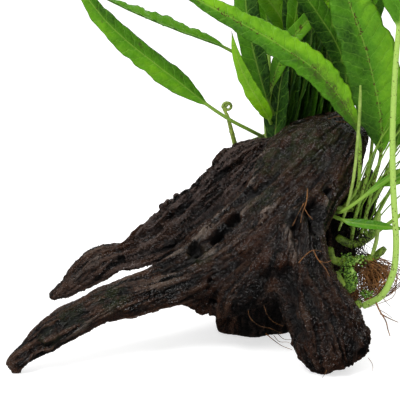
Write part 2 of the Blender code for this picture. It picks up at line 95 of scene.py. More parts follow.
# Channels sunk along the grain: points, width, depth.
CHANNELS = [
    ([(16, -20, 92), (4, -19, 82), (-4, -20, 74), (-14, -26, 63), (-24, -30, 56), (-34, -37, 49),
      (-48, -44, 42)], 3.0, 1.9),
    ([(-70, -53, 34), (-86, -60, 27), (-100, -65, 19)], 2.2, 1.5),
    ([(20, -60, 46), (25, -64, 40), (32, -67, 32), (40, -68, 24)], 2.4, 1.4),
    ([(26, -36, 84), (20, -46, 75), (20, -53, 65)], 2.4, 1.6),
    ([(8, -58, 38), (12, -62, 34), (18, -66, 26)], 2.6, 1.4),
    ([(-54, 14, 38), (-40, 9, 46), (-26, 5, 58), (-14, 0, 72)], 3.4, 2.4),
    ([(18, -44, 76), (18, -47, 73), (19, -50, 68), (21, -53, 63)], 2.7, 6.0),
    ([(27, -38, 82), (28, -42, 77), (30, -44, 71), (33, -46, 65)], 4.2, 10.0),
    ([(8, -56, 53), (12, -58, 45), (13, -61, 36), (16, -65, 25), (19, -68, 16)], 6.5, 5.5),
    ([(24, -20, 100), (10, -18, 90)], 1.4, 1.0),
    ([(-63, 20, 43), (-54, 17, 48), (-46, 14, 52)], 1.6, 4.0),
    ([(-66, 17, 35), (-55, 12, 38), (-44, 5, 42), (-32, 2, 50)], 2.6, 3.2),
    ([(-9, 8, 89), (-20, 10, 78), (-30, 11, 67), (-41, 13, 57), (-51, 15, 47)], 1.2, 1.6),
    ([(-32, 17, 74), (-41, 17, 66), (-50, 18, 57), (-57, 19, 51)], 1.1, 1.4),
    ([(0, 4, 94), (-12, 2, 82), (-24, 4, 70), (-34, 6, 60)], 1.3, 1.6),
    ([(36, -24, 94), (22, -36, 82), (12, -42, 74)], 1.6, 1.3),
]

# Holes: middle, radius, depth.
HOLES = [
    ((-11, -24, 67), 4.2, 6.5), ((-19, -29, 58.5), 4.5, 6.0), ((-30, -33, 54), 4.4, 6.0),
    ((-15, -27, 62), 2.6, 3.5), ((-23, -46, 41), 1.9, 3.5), ((-22, -45, 29), 2.0, 3.5),
    ((36, -33, 82), 3.2, 3.0), ((-70, 19, 32), 2.6, 3.0),
    ((-44, 8, 44), 4.0, 3.5), ((12, -60, 30), 3.0, 3.0), ((44, -60, 40), 3.4, 3.0),
    ((31, -41, 77), 4.4, 5.0), ((35, -45, 66), 3.8, 4.0), ((25, -42, 70), 3.0, 3.0),
    ((-60, -44, 40), 1.8, 2.0), ((34, -68, 22), 2.6, 2.5), ((50, -66, 12), 2.6, 3.0),
]

# Painted shade: balls over which the wood is painted nearly black where shade falls, under the belly, behind,
# in the crinkles and in the recess holes: middle, radius, share.
SHADE_BALLS = [
    ((4, -38, 28), 24, 0.62), ((8, -14, 8), 22, 0.7), ((46, -8, 62), 16, 0.6), ((-30, 4, 34), 14, 0.5),
    ((28, -50, 66), 17, 0.35), ((22, -40, 60), 12, 0.3), ((30, -42, 75), 7.5, 1.0), ((32, -44, 69), 6.0, 1.0),
    ((18, -46, 73), 6.0, 1.0),
]

# Parts with a green film: middle, radius.
ALGAE = [
    ((-71, -54, 36), 13), ((-88, -61, 27), 13), ((-28, -36, 52), 9), ((-100, -66, 18), 9),
    ((4, -26, 78), 13), ((24, -16, 102), 24), ((40, -14, 108), 18), ((8, -14, 96), 16),
]

# Swells and dips: middle, radius, height.
PUFFS = [((8, -53, 52), 9.0, 1.6), ((22, -66, 30), 9.0, 1.2), ((-106, -65, 12), 5.5, -2.2),
         ((46, -66, 16), 8.0, 1.4), ((-101, -64, 20), 5.0, 1.4), ((-114, -65, 8), 5.0, 0.8),
         ((-22, -44, 26), 8.0, -1.5), ((-17, -10, 8), 9.0, -5.0),
         ((43, -66, 6), 5.5, 2.6), ((40, -70, 9), 4.0, 1.2)]


# ---------------------------------------------------------------- noise and curves, as whole arrays

def lattice(cell, seed):
    """Whole-number cells (n, 3) mixed into evenly spread values from -1 to 1."""
    mixed = cell[:, 0] * 73856093 ^ cell[:, 1] * 19349663 ^ cell[:, 2] * 83492791 ^ seed * 2654435
    mixed &= 0xFFFFFFFF
    mixed = ((mixed ^ (mixed >> 15)) * 2246822519) & 0xFFFFFFFF
    mixed = ((mixed ^ (mixed >> 13)) * 3266489917) & 0xFFFFFFFF
    return ((mixed ^ (mixed >> 16)) & 0xFFFFFF) / 8388607.5 - 1


def noise(points, seed=0):
    """Lattice values at the eight corners round each point, eased between with t*t*(3 - 2t)."""
    base = np.floor(points)
    part = points - base
    base = base.astype(np.int64)
    ease = part * part * (3 - 2 * part)
    total = np.zeros(len(points))
    for corner in np.ndindex(2, 2, 2):
        share = np.where(np.array(corner) == 1, ease, 1 - ease).prod(axis=1)
        total += share * lattice(base + np.array(corner), seed)
    return total


def layered(points, octaves, seed=0, gain=0.5):
    """Noise at doubling frequencies, each octave worth gain times the one before."""
    total, worth = np.zeros(len(points)), 0.0
    for octave in range(octaves):
        total += gain ** octave * noise(points * 2.0 ** octave + octave * 17.3, seed + octave)
        worth += gain ** octave
    return total / worth


def ramp(value, low, high):
    """0 below low, 1 above high, eased between."""
    part = np.clip((value - low) / (high - low), 0, 1)
    return part * part * (3 - 2 * part)


def unit(rows):
    """Rows scaled to length 1."""
    return rows / np.maximum(np.linalg.norm(rows, axis=-1, keepdims=True), 1e-9)


def run_of(path):
    """Length along a path at each of its rows."""
    return np.concatenate([[0], np.cumsum(np.linalg.norm(np.diff(path, axis=0), axis=1))])


def eased(keys, rows, where):
    """Rows between keys by cubic Hermite pieces, whose slopes are the rows' own gradients."""
    rows = np.asarray(rows, float)
    rows = rows.reshape(len(rows), -1)
    slopes = np.gradient(rows, keys, axis=0)
    last = np.clip(np.searchsorted(keys, where, side="right") - 1, 0, len(keys) - 2)
    gap = (keys[last + 1] - keys[last])[:, None]
    part = np.clip((where[:, None] - keys[last][:, None]) / gap, 0, 1)
    return ((2 * part ** 3 - 3 * part ** 2 + 1) * rows[last]
            + (part ** 3 - 2 * part ** 2 + part) * gap * slopes[last]
            + (3 * part ** 2 - 2 * part ** 3) * rows[last + 1]
            + (part ** 3 - part ** 2) * gap * slopes[last + 1])


def smooth_path(points, spacing):
    """A path through the points with rows about one spacing apart."""
    points = np.asarray(points, float)
    run = run_of(points)
    count = max(int(run[-1] / spacing) + 1, 4)
    fine = eased(run, points, np.linspace(0, run[-1], count * 4))
    fine_run = run_of(fine)
    even = np.linspace(0, fine_run[-1], count)
    return np.column_stack([np.interp(even, fine_run, column) for column in fine.T])


# ---------------------------------------------------------------- meshes

def make_mesh(name, points, quads, triangles=None):
    """A mesh from points in millimetres, four-cornered faces and, where there are any, triangles."""
    triangles = np.zeros((0, 3), int) if triangles is None else triangles
    corners = np.concatenate([quads.ravel(), triangles.ravel()]).astype(np.int32)
    starts = np.concatenate([np.arange(len(quads)) * 4,
                             len(quads) * 4 + np.arange(len(triangles)) * 3]).astype(np.int32)
    mesh = bpy.data.meshes.new(name)
    mesh.vertices.add(len(points))
    mesh.vertices.foreach_set("co", (np.asarray(points) * MM).astype(np.float32).ravel())
    mesh.loops.add(len(corners))
    mesh.loops.foreach_set("vertex_index", corners)
    mesh.polygons.add(len(starts))
    mesh.polygons.foreach_set("loop_start", starts)
    mesh.update(calc_edges=True)
    mesh.validate()
    mesh.shade_smooth()
    return mesh


def give(mesh, name, values):
    """A per-point attribute: one number each, or three."""
    values = np.asarray(values, np.float32)
    kind, field = ("FLOAT", "value") if values.ndim == 1 else ("FLOAT_VECTOR", "vector")
    mesh.attributes.new(name, kind, "POINT").data.foreach_set(field, values.ravel())


def add_piece(name, mesh, look, slot, *replaced):
    """The mesh as a piece that rides on the root and stands for the CAD nodes named."""
    piece = bpy.data.objects.new(name, mesh)
    bpy.context.scene.collection.objects.link(piece)
    mesh.materials.append(look)
    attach(piece, "root")
    if replaced:
        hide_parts(*replaced)
    return piece


def add_loft(name, loft, look, slot, *replaced):
    """A loft's points and faces as a piece."""
    return add_piece(name, make_mesh(name, *loft), look, slot, *replaced)


def lofted(rings):
    """Points and faces of a closed tube from its rings (stations, corners, 3), with a fan at each end."""
    stations, sides = rings.shape[:2]
    corner = np.arange(stations * sides).reshape(stations, sides)
    onward = np.roll(corner, -1, axis=1)
    quads = np.stack([corner[:-1], onward[:-1], onward[1:], corner[1:]], axis=2).reshape(-1, 4)
    first, last = stations * sides, stations * sides + 1
    ends = np.concatenate([
        np.stack([onward[0], corner[0], np.full(sides, first)], axis=1),
        np.stack([corner[-1], onward[-1], np.full(sides, last)], axis=1)])
    points = np.concatenate([rings.reshape(-1, 3), [rings[0].mean(0)], [rings[-1].mean(0)]])
    return points, quads, ends


def joined(parts):
    """Several lofts as one set of points and faces."""
    offset, points, quads, ends = 0, [], [], []
    for some_points, some_quads, some_ends in parts:
        points.append(some_points)
        quads.append(some_quads + offset)
        ends.append(some_ends + offset)
        offset += len(some_points)
    return np.concatenate(points), np.concatenate(quads), np.concatenate(ends)


def bar_rings(path, radii, sides):
    """Rings of a round bar, at equal turns about the path."""
    _, side, normal = carried_frames(path)
    turn = np.arange(sides) * 2 * np.pi / sides
    out = (np.cos(turn)[None, :, None] * side[:, None, :]
           + np.sin(turn)[None, :, None] * normal[:, None, :])
    return path[:, None, :] + out * np.reshape(radii, (-1, 1, 1))


def carried_frames(path):
    """Tangent, side and normal at each row, the side carried along the path without twisting."""
    tangent = unit(np.gradient(path, axis=0))
    rough = np.cross(tangent[0], (0.2, 0.9, 0.35))
    side = [rough / np.linalg.norm(rough)]
    for direction in tangent[1:]:
        kept = side[-1] - direction * side[-1].dot(direction)
        side.append(kept / np.linalg.norm(kept))
    side = np.array(side)
    return tangent, side, np.cross(side, tangent)


def read(rows, field, width=1, kind=np.float32):
    """One field of a mesh's vertices or loops, a row each."""
    found = np.empty(len(rows) * width, kind)
    rows.foreach_get(field, found)
    return found.reshape(-1, width)


def corners_of(node):
    """A CAD node's points, merged where they meet, in millimetres, and its triangles on them."""
    cells = np.round(read(node.data.vertices, "co", 3) / (MM * MM)).astype(np.int64)
    spots, place = np.unique(cells, axis=0, return_inverse=True)
    corners = read(node.data.loops, "vertex_index", kind=np.int32)
    return spots * MM, place.ravel()[corners].reshape(-1, 3)


# ---------------------------------------------------------------- driftwood

def melted(names, swell, voxel):
    """Copies of CAD nodes swollen by a little and melted together on a voxel grid: points and quads."""
    points, faces, offset, no_quads = [], [], 0, np.zeros((0, 4), int)
    for name in names:
        some, triangles = corners_of(NODES[name])
        mesh = make_mesh(name + "_copy", some, no_quads, triangles)
        points.append(some + swell * read(mesh.vertices, "normal", 3))
        faces.append(triangles + offset)
        offset += len(some)
        bpy.data.meshes.remove(mesh)
    mesh = make_mesh("blank", np.concatenate(points), no_quads, np.concatenate(faces))
    blank = bpy.data.objects.new("blank", mesh)
    bpy.context.scene.collection.objects.link(blank)
    melt = blank.modifiers.new("melt", "REMESH")
    melt.mode = "VOXEL"
    melt.voxel_size = voxel * MM
    bpy.context.view_layer.update()
    shape = blank.evaluated_get(bpy.context.evaluated_depsgraph_get()).to_mesh()
    places = read(shape.vertices, "co", 3).astype(float) / MM
    corners = read(shape.loops, "vertex_index", kind=np.int32).reshape(-1, 4)
    bpy.data.objects.remove(blank)
    return places, corners


def smoothed(points, quads, passes):
    """Points drawn towards their neighbours' mean and pushed back a little further, so size is kept."""
    start = quads.ravel()
    end = np.roll(quads, -1, axis=1).ravel()
    size = len(points)
    count = np.bincount(start, minlength=size) + np.bincount(end, minlength=size)
    for step in [0.55, -0.57] * passes:
        total = [np.bincount(start, column[end], size) + np.bincount(end, column[start], size)
                 for column in points.T]
        points = points + step * (np.column_stack(total) / count[:, None] - points)
    return points


def combed(points, quads, normal, flow, fields):
    """Fields of values averaged along the grain, each then scaled to a spread of COMB_SPREAD.

    From every point two walks go along the flow, one ahead and one behind.  A walk's free end moves
    by one step on the surface each time, and the walk takes the neighbour that is nearest to it.
    """
    edges = np.concatenate([np.stack([quads.ravel(), np.roll(quads, turn, axis=1).ravel()], axis=1)
                            for turn in (1, -1)])
    edges = np.unique(edges, axis=0)
    rank = np.arange(len(edges)) - np.searchsorted(edges[:, 0], edges[:, 0])
    table = np.repeat(np.arange(len(points))[:, None], rank.max() + 1, axis=1)
    table[edges[:, 0], rank] = edges[:, 1]
    flow = unit(flow - normal * (flow * normal).sum(1)[:, None])
    total = fields.copy()
    for sense in (1, -1):
        here, free = np.arange(len(points)), points.copy()
        for _ in range(COMB_STEPS):
            free = free + sense * COMB_STRIDE * flow[here]
            near = table[here]
            gap = ((points[near] - free[:, None]) ** 2).sum(2)
            here = near[np.arange(len(points)), gap.argmin(1)]
            off = ((free - points[here]) * normal[here]).sum(1)
            free = free - normal[here] * off[:, None]
            total += fields[here]
    return total * (COMB_SPREAD / total.std(0))


def grain_at(points):
    """Grain coordinates and direction: across and across from the nearest lines' middles, and along them.

    Each line gives (offset on its carried side, on its carried normal, length along it), and the
    lines are mixed by exp(-distance / reach).
    """
    total, worth = np.zeros((len(points), 3)), np.zeros(len(points))
    flow = np.zeros((len(points), 3))
    nearest = np.full(len(points), np.inf)
    found = []
    for line in GRAIN_LINES:
        path = smooth_path(line, 4.0)
        tangent, side, normal = carried_frames(path)
        gap = ((points[:, None, :] - path[None]) ** 2).sum(2)
        index = gap.argmin(1)
        off = points - path[index]
        slide = (off * tangent[index]).sum(1)
        off = off - slide[:, None] * tangent[index]
        along = run_of(path)[index] + slide
        found.append((np.sqrt(gap[np.arange(len(points)), index]), tangent[index],
                      np.column_stack([(off * side[index]).sum(1) + 0.35 * path[0, 0],
                                       (off * normal[index]).sum(1) + 0.35 * path[0, 1], along])))
        nearest = np.minimum(nearest, found[-1][0])
    for distance, tangent, place in found:
        share = np.exp(-(distance - nearest) / GRAIN_REACH)
        total += share[:, None] * place
        flow += share[:, None] * tangent
        worth += share
    return total / worth[:, None], unit(flow)


def line_mark(points, line, width):
    """1 on a line, falling off as exp(-(distance / width)^2), fading over its last fifth at each end."""
    path = smooth_path(line, 1.0)
    low, high = path.min(0) - 3 * width, path.max(0) + 3 * width
    close = np.all((points > low) & (points < high), axis=1)
    mark = np.zeros(len(points))
    gap = ((points[close][:, None, :] - path[None]) ** 2).sum(2)
    index = gap.argmin(1)
    share = index / (len(path) - 1)
    fade = ramp(share, -0.02, 0.18) * ramp(1 - share, -0.02, 0.18)
    mark[close] = np.exp(-gap[np.arange(len(gap)), index] / width ** 2) * fade
    return mark


def ball_mark(points, centre, radius):
    """1 well inside a ball and 0 outside it, with a rim that is eased over two fifths of the radius."""
    distance = np.linalg.norm(points - np.asarray(centre, float), axis=1)
    return 1 - ramp(distance, 0.55 * radius, 1.1 * radius)


def normals_of(points, quads):
    """Vertex normals: the mean of the face normals round each point."""
    a, b, c, d = (points[quads[:, i]] for i in range(4))
    face = np.cross(c - a, d - b)
    total = np.column_stack([
        sum(np.bincount(quads[:, i], face[:, axis], len(points)) for i in range(4)) for axis in range(3)])
    return unit(total)


def shaken(points, height, length, seed):
    """Points moved by noise of that height and length along each axis."""
    return points + height * np.column_stack([noise(points / length, seed + axis) for axis in range(3)])


def build_wood(look):
    """The whole root as one surface: melted CAD pieces, smoothed, then worn along its grain."""
    points, quads = melted(WOOD_NODES, WOOD_SEAM, WOOD_VOXEL)
    points = smoothed(points, quads, WOOD_PASSES)
    normal = normals_of(points, quads)
    grain, flow = grain_at(shaken(points, 1.2, 9, 61))

    wave = layered(points / 20, 2, 3)
    coarse, middle, fine = combed(points, quads, normal, flow, np.column_stack([
        layered(points / 4.6, 2, 5), layered(points / 1.9, 2, 9),
        np.random.default_rng(3).normal(size=len(points))])).T
    crumpled = layered(points / (2.2, 2.0, 2.4), 2, 33)
    pores = layered(points / 2.4, 2, 21)
    slab = ramp(points[:, 1] + 0.25 * points[:, 2], 12, 24) * ramp(-points[:, 0], -16, -4)
    slab *= 1 - 0.75 * ramp(-points[:, 0], 60, 78)
    nodular = ramp(70 - points[:, 2], 0, 30) * ramp(-points[:, 1], 34, 46) * ramp(points[:, 0], -14, 4)
    calm = ramp(-points[:, 0], 34, 60) * (1 - slab)
    furrow = np.maximum(0, 1 - np.abs(middle) / 0.16)
    crack = np.maximum(0, 1 - np.abs(coarse) / 0.07)

    lift = 0.7 * wave + 1.2 * coarse * (1 - 0.75 * calm - 0.4 * nodular) + 0.75 * middle * (1 + 0.9 * slab)
    lift += 0.55 * fine * (1 + 1.2 * slab) + crumpled * (0.95 * nodular + 0.12 * (1 - calm) * (1 - slab))
    lift -= (0.9 - 0.5 * calm + 1.1 * slab) * furrow
    lift -= (1.4 + 1.4 * slab - 0.7 * nodular) * crack * (1 - 0.7 * calm)
    lift += 1.0 * slab * np.minimum(pores, 0.25) + 0.9 * nodular * layered(points / 4.6, 2, 35)
    # The lip marks also carry the pale painted highlight.
    lips = np.zeros(len(points))
    for line, width, height in LIPS:
        mark = line_mark(points, line, width) * (1 + 0.35 * noise(points / 5, 71))
        lips = np.maximum(lips, np.maximum(mark, line_mark(points, line, 1.5 * width)))
        lift += height * mark
    # sunk marks where the wood gets near-black painted shade: channels, holes and the shade balls.
    sunk = np.zeros(len(points))
    for line, width, depth in CHANNELS:
        mark = line_mark(points, line, width)
        dark = ramp(mark, 0.1, 0.5) if depth > SHARP_DEPTH else mark
        sunk = np.maximum(sunk, min(0.35 + 0.1 * depth, 1) * dark)
        lift -= depth * mark
    wobble = shaken(points, 1.1, 3, 81)
    for centre, radius, depth in HOLES:
        mark = ball_mark(wobble, centre, radius)
        sunk = np.maximum(sunk, ramp(mark, 0.08, 0.4))
        lift -= depth * mark
    for centre, radius, height in PUFFS:
        lift += height * ball_mark(points, centre, radius)
    # Painted shade: near black over the balls where shade falls.
    for centre, radius, share in SHADE_BALLS:
        sunk = np.maximum(sunk, share * ball_mark(points, centre, radius))

    foot = ramp(points[:, 2], 0.4, 4.0)
    standing = (normal[:, 2] < -0.8) & (points[:, 2] < 1.2)
    moved = points + normal * ((lift - WOOD_SEAM) * foot)[:, None]
    moved[:, 2] = np.where(standing, 0.0, np.maximum(moved[:, 2], 0.0))
    mesh = make_mesh("driftwood", moved, quads)

    # Painted shade: near black in channels, holes, furrows, cracks and low places of the grain, and over the
    # shade balls.
    painted_shade = np.clip(1.1 * sunk + 0.45 * furrow + 0.6 * crack - 0.25 * coarse - 0.25 * middle - 0.3 * fine
                     - 0.5 * nodular * crumpled, 0, 1)
    algae = 0.0 * lift
    for centre, radius in ALGAE:
        algae = np.maximum(algae, 1 - ramp(np.linalg.norm(points - centre, axis=1), 0.2 * radius, radius))
    give(mesh, "grain", grain)
    give(mesh, "fibre", np.column_stack([coarse, middle, fine]) + 0.5)
    give(mesh, "painted_shade_highlight_film", np.column_stack([painted_shade, lips, algae]))
    give(mesh, "zone", np.column_stack([slab, nodular, calm]))
    return add_piece("driftwood", mesh, look, "wet_driftwood", *WOOD_NODES)


# ---------------------------------------------------------------- fronds

def rings_of(node):
    """The rings of six corners that a CAD frond is lofted from, base first.

    The two corners that are furthest apart along the edges are in the end rings; the wider of the
    two rings is the base, and each next ring is what the one before touches.
    """
    points, triangles = corners_of(node)
    count = len(points)
    apart = np.linalg.norm(points[:, None] - points[None], axis=2)
    touch = np.zeros((count, count), bool)
    for one, other in ((0, 1), (1, 2), (2, 0)):
        touch[triangles[:, one], triangles[:, other]] = True
        touch[triangles[:, other], triangles[:, one]] = True
    hop = np.where(touch, apart, np.inf)

    def reached(start):
        distance, done = np.full(count, np.inf), np.zeros(count, bool)
        distance[start] = 0
        for _ in range(count):
            here = np.argmin(np.where(done, np.inf, distance))
            done[here] = True
            distance = np.minimum(distance, distance[here] + hop[here])
        return distance.argmax()

    one = reached(0)
    ends = [np.argsort(apart[corner])[:6] for corner in (one, reached(one))]
    current = max(ends, key=lambda ring: apart[np.ix_(ring, ring)].max())
    seen, rings = np.zeros(count, bool), []
    while len(current) == 6:
        rings.append(points[current])
        seen[current] = True
        current = np.flatnonzero(touch[current].any(0) & ~seen)
    if len(rings) * 6 != count:
        raise ValueError(f"{node.name} isn't made of rings of six corners")
    return np.array(rings)


def sections_of(node):
    """Middle, side, normal, half width and half thickness at each ring of a CAD frond."""
    rings = rings_of(node)
    middle = rings.mean(1)
    off = rings - middle[:, None]
    reach = np.linalg.norm(off, axis=2)
    side = unit(np.take_along_axis(off, reach.argmax(1)[:, None, None], axis=1)[:, 0])
    broad = reach.max(1).argmax()
    tangent = unit(np.gradient(middle, axis=0))
    if np.cross(side[broad], tangent[broad]).dot((0, -1, 0.6)) < 0:
        side[broad] *= -1
    for step, stop in ((1, len(side)), (-1, -1)):
        for ring in range(broad + step, stop, step):
            if side[ring].dot(side[ring - step]) < 0:
                side[ring] *= -1
    return middle, side, reach.max(1), reach.min(1)


LEAF_DEFAULTS = {
    "tone": 0.5,          # 0 dark green to 1 yellow-green
    # Painted light: how much lighter one half of the blade is drawn, as light falls on one side of its fold.
    "painted_half_light": 0.1,      # how much lighter one half of the blade is than the other
    "wave": 0.8,          # height of the margin's waves
    "wavelength": 17.0,
    "scallop": 0.05,      # how much the margin's outline wavers, over the half width
    "keel": 0.16,         # how far the halves fold up, over the distance from the midrib
    "bumps": 0.28,        # height of the blade's bulges between its veins
    "twist": 8.0,         # degrees that the blade rolls about its midrib
    "stations": 96,
    "spots": (),          # brown patches: share of length, share of half width, radius, strength
    "specks": 0.5,        # how many brown specks the midrib and stalk have
    "tip": 0.15,          # how brown the tip is
    "pale": 0.35,         # how pale the stalk is
    "point": 0.86,        # share of the length at which the blade starts to draw in to its tip
}
LEAF_STYLES = {
    "frond_long_left": {"tone": 0.55, "painted_half_light": -0.16, "wave": 1.0, "wavelength": 17, "stations": 150,
                        "spots": ((0.60, 0.5, 1.6, 1), (0.42, 0.6, 0.9, 1), (0.75, -0.3, 0.7, 1)),
                        "specks": 0.35, "scallop": 0.07, "keel": -0.16},
    "frond_edge_on": {"tone": 0.5, "painted_half_light": 0.1, "wave": 1.6, "wavelength": 9, "keel": 0.5,
                      "stations": 140, "scallop": 0.1, "specks": 0.2},
    "frond_brown_tip": {"tone": 0.95, "wave": 0.7, "wavelength": 11, "tip": 1.0, "painted_half_light": -0.06,
                        "stations": 120, "scallop": 0.09},
    "frond_dark_left": {"tone": 0.26, "painted_half_light": -0.2, "wave": 1.1, "wavelength": 14, "stations": 120,
                        "spots": ((0.5, -0.9, 1.2, 1),)},
    "frond_midrib": {"tone": 0.6, "wave": 0.9, "specks": 1.0, "stations": 120},
    "frond_curved_stalk": {"tone": 0.55, "pale": 0.8, "stations": 110},
    "frond_crossing": {"tone": 0.72, "wave": 0.9, "point": 0.6},
    "frond_behind_left": {"tone": 0.42, "wave": 0.9},
    "frond_dark_right": {"tone": 0.22, "wave": 1.0},
    "frond_front_diagonal": {"tone": 0.62, "painted_half_light": 0.22, "wave": 1.5, "wavelength": 11, "stations": 170,
                             "scallop": 0.08, "keel": 0.2, "specks": 1.1,
                             "spots": ((0.30, 0.0, 5.5, 0.5), (0.36, -0.1, 6.0, 0.7), (0.43, -0.1, 6.5, 0.75),
                                       (0.50, -0.1, 6.0, 0.6), (0.57, 0.0, 4.0, 0.4), (0.42, 0.1, 2.2, 0.95),
                                       (0.35, -0.5, 1.6, 0.9), (0.5, -0.2, 1.8, 0.8),
                                       (0.28, -0.3, 1.4, 0.8))},
    "frond_broad_right": {"tone": 0.50, "painted_half_light": 0.2, "wave": 1.5, "wavelength": 19, "stations": 170,
                          "scallop": 0.07, "keel": 0.2, "bumps": 0.6, "specks": 1.25},
    "frond_thick_stalk": {"tone": 0.55, "pale": 1.0, "specks": 0.75, "stations": 170, "bumps": 0.4,
                          "wave": 1.4, "wavelength": 18},
    "frond_side_winged": {"tone": 0.6, "specks": 1.0, "stations": 120},
    "frond_side_leaning": {"tone": 0.5, "specks": 0.9, "stations": 120},
    "frond_side_outward": {"tone": 0.48, "specks": 0.8, "stations": 120},
    "frond_plantlet_level": {"tone": 0.6, "wave": 1.3, "wavelength": 6, "specks": 0.3, "stations": 90,
                             "scallop": 0.1},
    "frond_plantlet_rising": {"tone": 0.66, "wave": 0.3, "wavelength": 7, "specks": 0.2, "stations": 70},
    "frond_plantlet_broad": {"tone": 0.6, "wave": 0.6, "wavelength": 8, "specks": 0.2, "stations": 80},
}
# Low tones of the inner fronds: painted shade of the clump's inside.
for inner, tone in zip(range(1, 8), (0.12, 0.2, 0.08, 0.24, 0.3, 0.3, 0.34)):
    LEAF_STYLES[f"frond_inner_{inner}"] = {"tone": tone, "specks": 0.9}
for back, tone in zip(range(1, 11), (0.5, 0.56, 0.46, 0.5, 0.38, 0.52, 0.44, 0.5, 0.4, 0.55)):
    LEAF_STYLES[f"frond_back_{back}"] = {"tone": tone, "wave": 1.1}

ACROSS = 13               # columns from a blade's midrib to its margin
ROOTED = 1.6              # how far a stalk runs on into its rhizome
LAMINA = 0.2              # half of a blade's thickness away from its midrib
VEIN_SLANT = 0.9          # how far a side vein runs along the blade over how far it runs across
VEIN_STEP = 6.5           # between side veins


def frond_surface(sections, style, seed):
    """A frond as rings across its midrib: points, faces and the values that its colours need.

    At each station a ring has columns x from -1 to 1 on both faces.  A stalk's ring is the circle
    r*sqrt(1 - x^2); a blade's is a thin plate t*sqrt(1 - x^8) with a rib exp(-(x*half/rib)^2) on it.
    The plate is lifted by keel*|x|, by sine waves that grow towards the margins, and by bulges
    between the side veins, and its outline wavers.
    """
    middle, side, half, thick = sections
    middle[0] -= ROOTED * unit(middle[1] - middle[0])
    run = run_of(middle)
    along = np.linspace(0, run[-1], style["stations"])
    share = along / run[-1]
    centre = eased(run, middle, along)
    breadth = np.maximum(eased(run, half, along)[:, 0], 0.3)
    tangent = unit(np.gradient(centre, axis=0))
    side = eased(run, side, along)
    side = unit(side - tangent * (side * tangent).sum(1)[:, None])
    normal = np.cross(side, tangent)
    stalk = thick[0] * (1 - 0.35 * share)
    blade = ramp(breadth / stalk, 1.25, 2.6)
    blade = np.maximum(blade, ramp(share, 0.8, 0.9))
    roll = np.radians(style["twist"]) * noise(np.column_stack([along / 45, share * 0, share * 0 + seed]), 7)
    side, normal = (side * np.cos(roll)[:, None] + normal * np.sin(roll)[:, None],
                    normal * np.cos(roll)[:, None] - side * np.sin(roll)[:, None])
    tip = ramp(share, 0.955, 1.0)
    point = style["point"]
    breadth = breadth * (1 - 0.9 * np.clip((share - point) / (1 - point), 0, 1) ** 1.7)

    x = np.linspace(-1, 1, 2 * ACROSS - 1)
    x = np.sign(x) * np.abs(x) ** 1.3
    length, share, breadth, stalk, blade, tip = (
        rows[:, None] for rows in (along, share, breadth, stalk, blade, tip))
    grid = x + 0 * length
    far = np.abs(grid)
    hand = np.where(grid < 0, 0.0, 5.0)

    def field(first, second, third, number, octaves=1):
        """Layered noise over the grid at the places (first, second, third)."""
        places = np.stack(np.broadcast_arrays(first, second, third), axis=-1).reshape(-1, 3)
        return layered(places, octaves, number).reshape(grid.shape)

    waver = 1 + style["scallop"] * blade * 2 * field(length / 4.5, hand, seed * 3.1, 13, 2)
    reach = grid * breadth * waver
    phase = 2.5 * field(length / 24, hand, seed, 17)
    growth = np.clip(breadth / 6, 0, 1.2) * blade
    cycle = 2 * np.pi * length / style["wavelength"]
    swell = 0.35 + 0.65 * np.abs(field(length / 4.5 / 3 + 5.5, hand / 3 + 5.5, seed * 3.1 / 3 + 5.5, 31))
    wave = np.sin(cycle + 3 * phase) + 0.5 * np.sin(2.7 * cycle + 5 * phase)
    wave = 0.6 * style["wave"] * swell * far ** 2.2 * wave
    vein = (length - VEIN_SLANT * np.abs(reach)) / VEIN_STEP
    bulge = (0.5 - 0.5 * np.cos(2 * np.pi * vein)) * np.sin(np.pi * np.clip(far, 0, 1))
    bulge = style["bumps"] * (bulge + 0.8 * field(reach / 3.5, length / 4, seed, 19, 2))
    lift = (style["keel"] * np.abs(reach) + growth * (wave + bulge)) * blade

    circle = stalk * np.sqrt(np.maximum(1 - grid ** 2, 0))
    plate = LAMINA * np.sqrt(np.maximum(1 - far ** 8, 0)) * (1 - 0.5 * tip)
    rib_size = 0.62 * stalk * (1 - 0.55 * share) * (1 - tip)
    rib = rib_size * np.exp(-(reach / (0.95 * rib_size + 0.05)) ** 2)
    above = (1 - blade) * circle + blade * (plate + 0.55 * rib)
    below = (1 - blade) * circle + blade * (plate + rib)
    reach = (1 - blade) * grid * stalk + blade * reach

    def face(rise, columns):
        return (centre[:, None] + reach[:, columns, None] * side[:, None]
                + (lift + rise)[:, columns, None] * normal[:, None])

    columns = np.arange(len(x))
    back = columns[1:-1][::-1]
    order = np.concatenate([columns, back])
    loft = lofted(np.concatenate([face(above, columns), face(-below, back)], axis=1))

    def spread(values):
        """Grid values at the rings' points, then at the two ends."""
        values = np.broadcast_to(values, grid.shape)[:, order].ravel()
        return np.concatenate([values, values[:1], values[-1:]])

    # Painted light: one half of the blade made lighter than the other, as light falls on one side of its
    # fold.
    tone = style["tone"] + style["painted_half_light"] * np.clip(grid * 3, -1, 1) * blade
    tone = tone + 0.12 * field(reach / 7, length / 16, seed, 23)
    ragged = 1 + 0.5 * field(reach / 1.6, length / 1.6, 3.0, 29)
    brown = style["tip"] * ramp(share, 0.93, 0.99) + 0 * grid
    for place, off, radius, strength in style["spots"]:
        away = ragged * np.hypot(length - place * run[-1], 1.3 * (reach - off * breadth))
        brown = np.maximum(brown, strength * (1 - ramp(away, 0.3 * radius, 1.25 * radius)))
    values = {"blade": (reach, length, breadth), "shade": (tone, brown, 1 - blade),
              "stalk": (style["pale"], style["specks"], share)}
    return loft, {key: np.column_stack([spread(rows) for rows in three]) for key, three in values.items()}


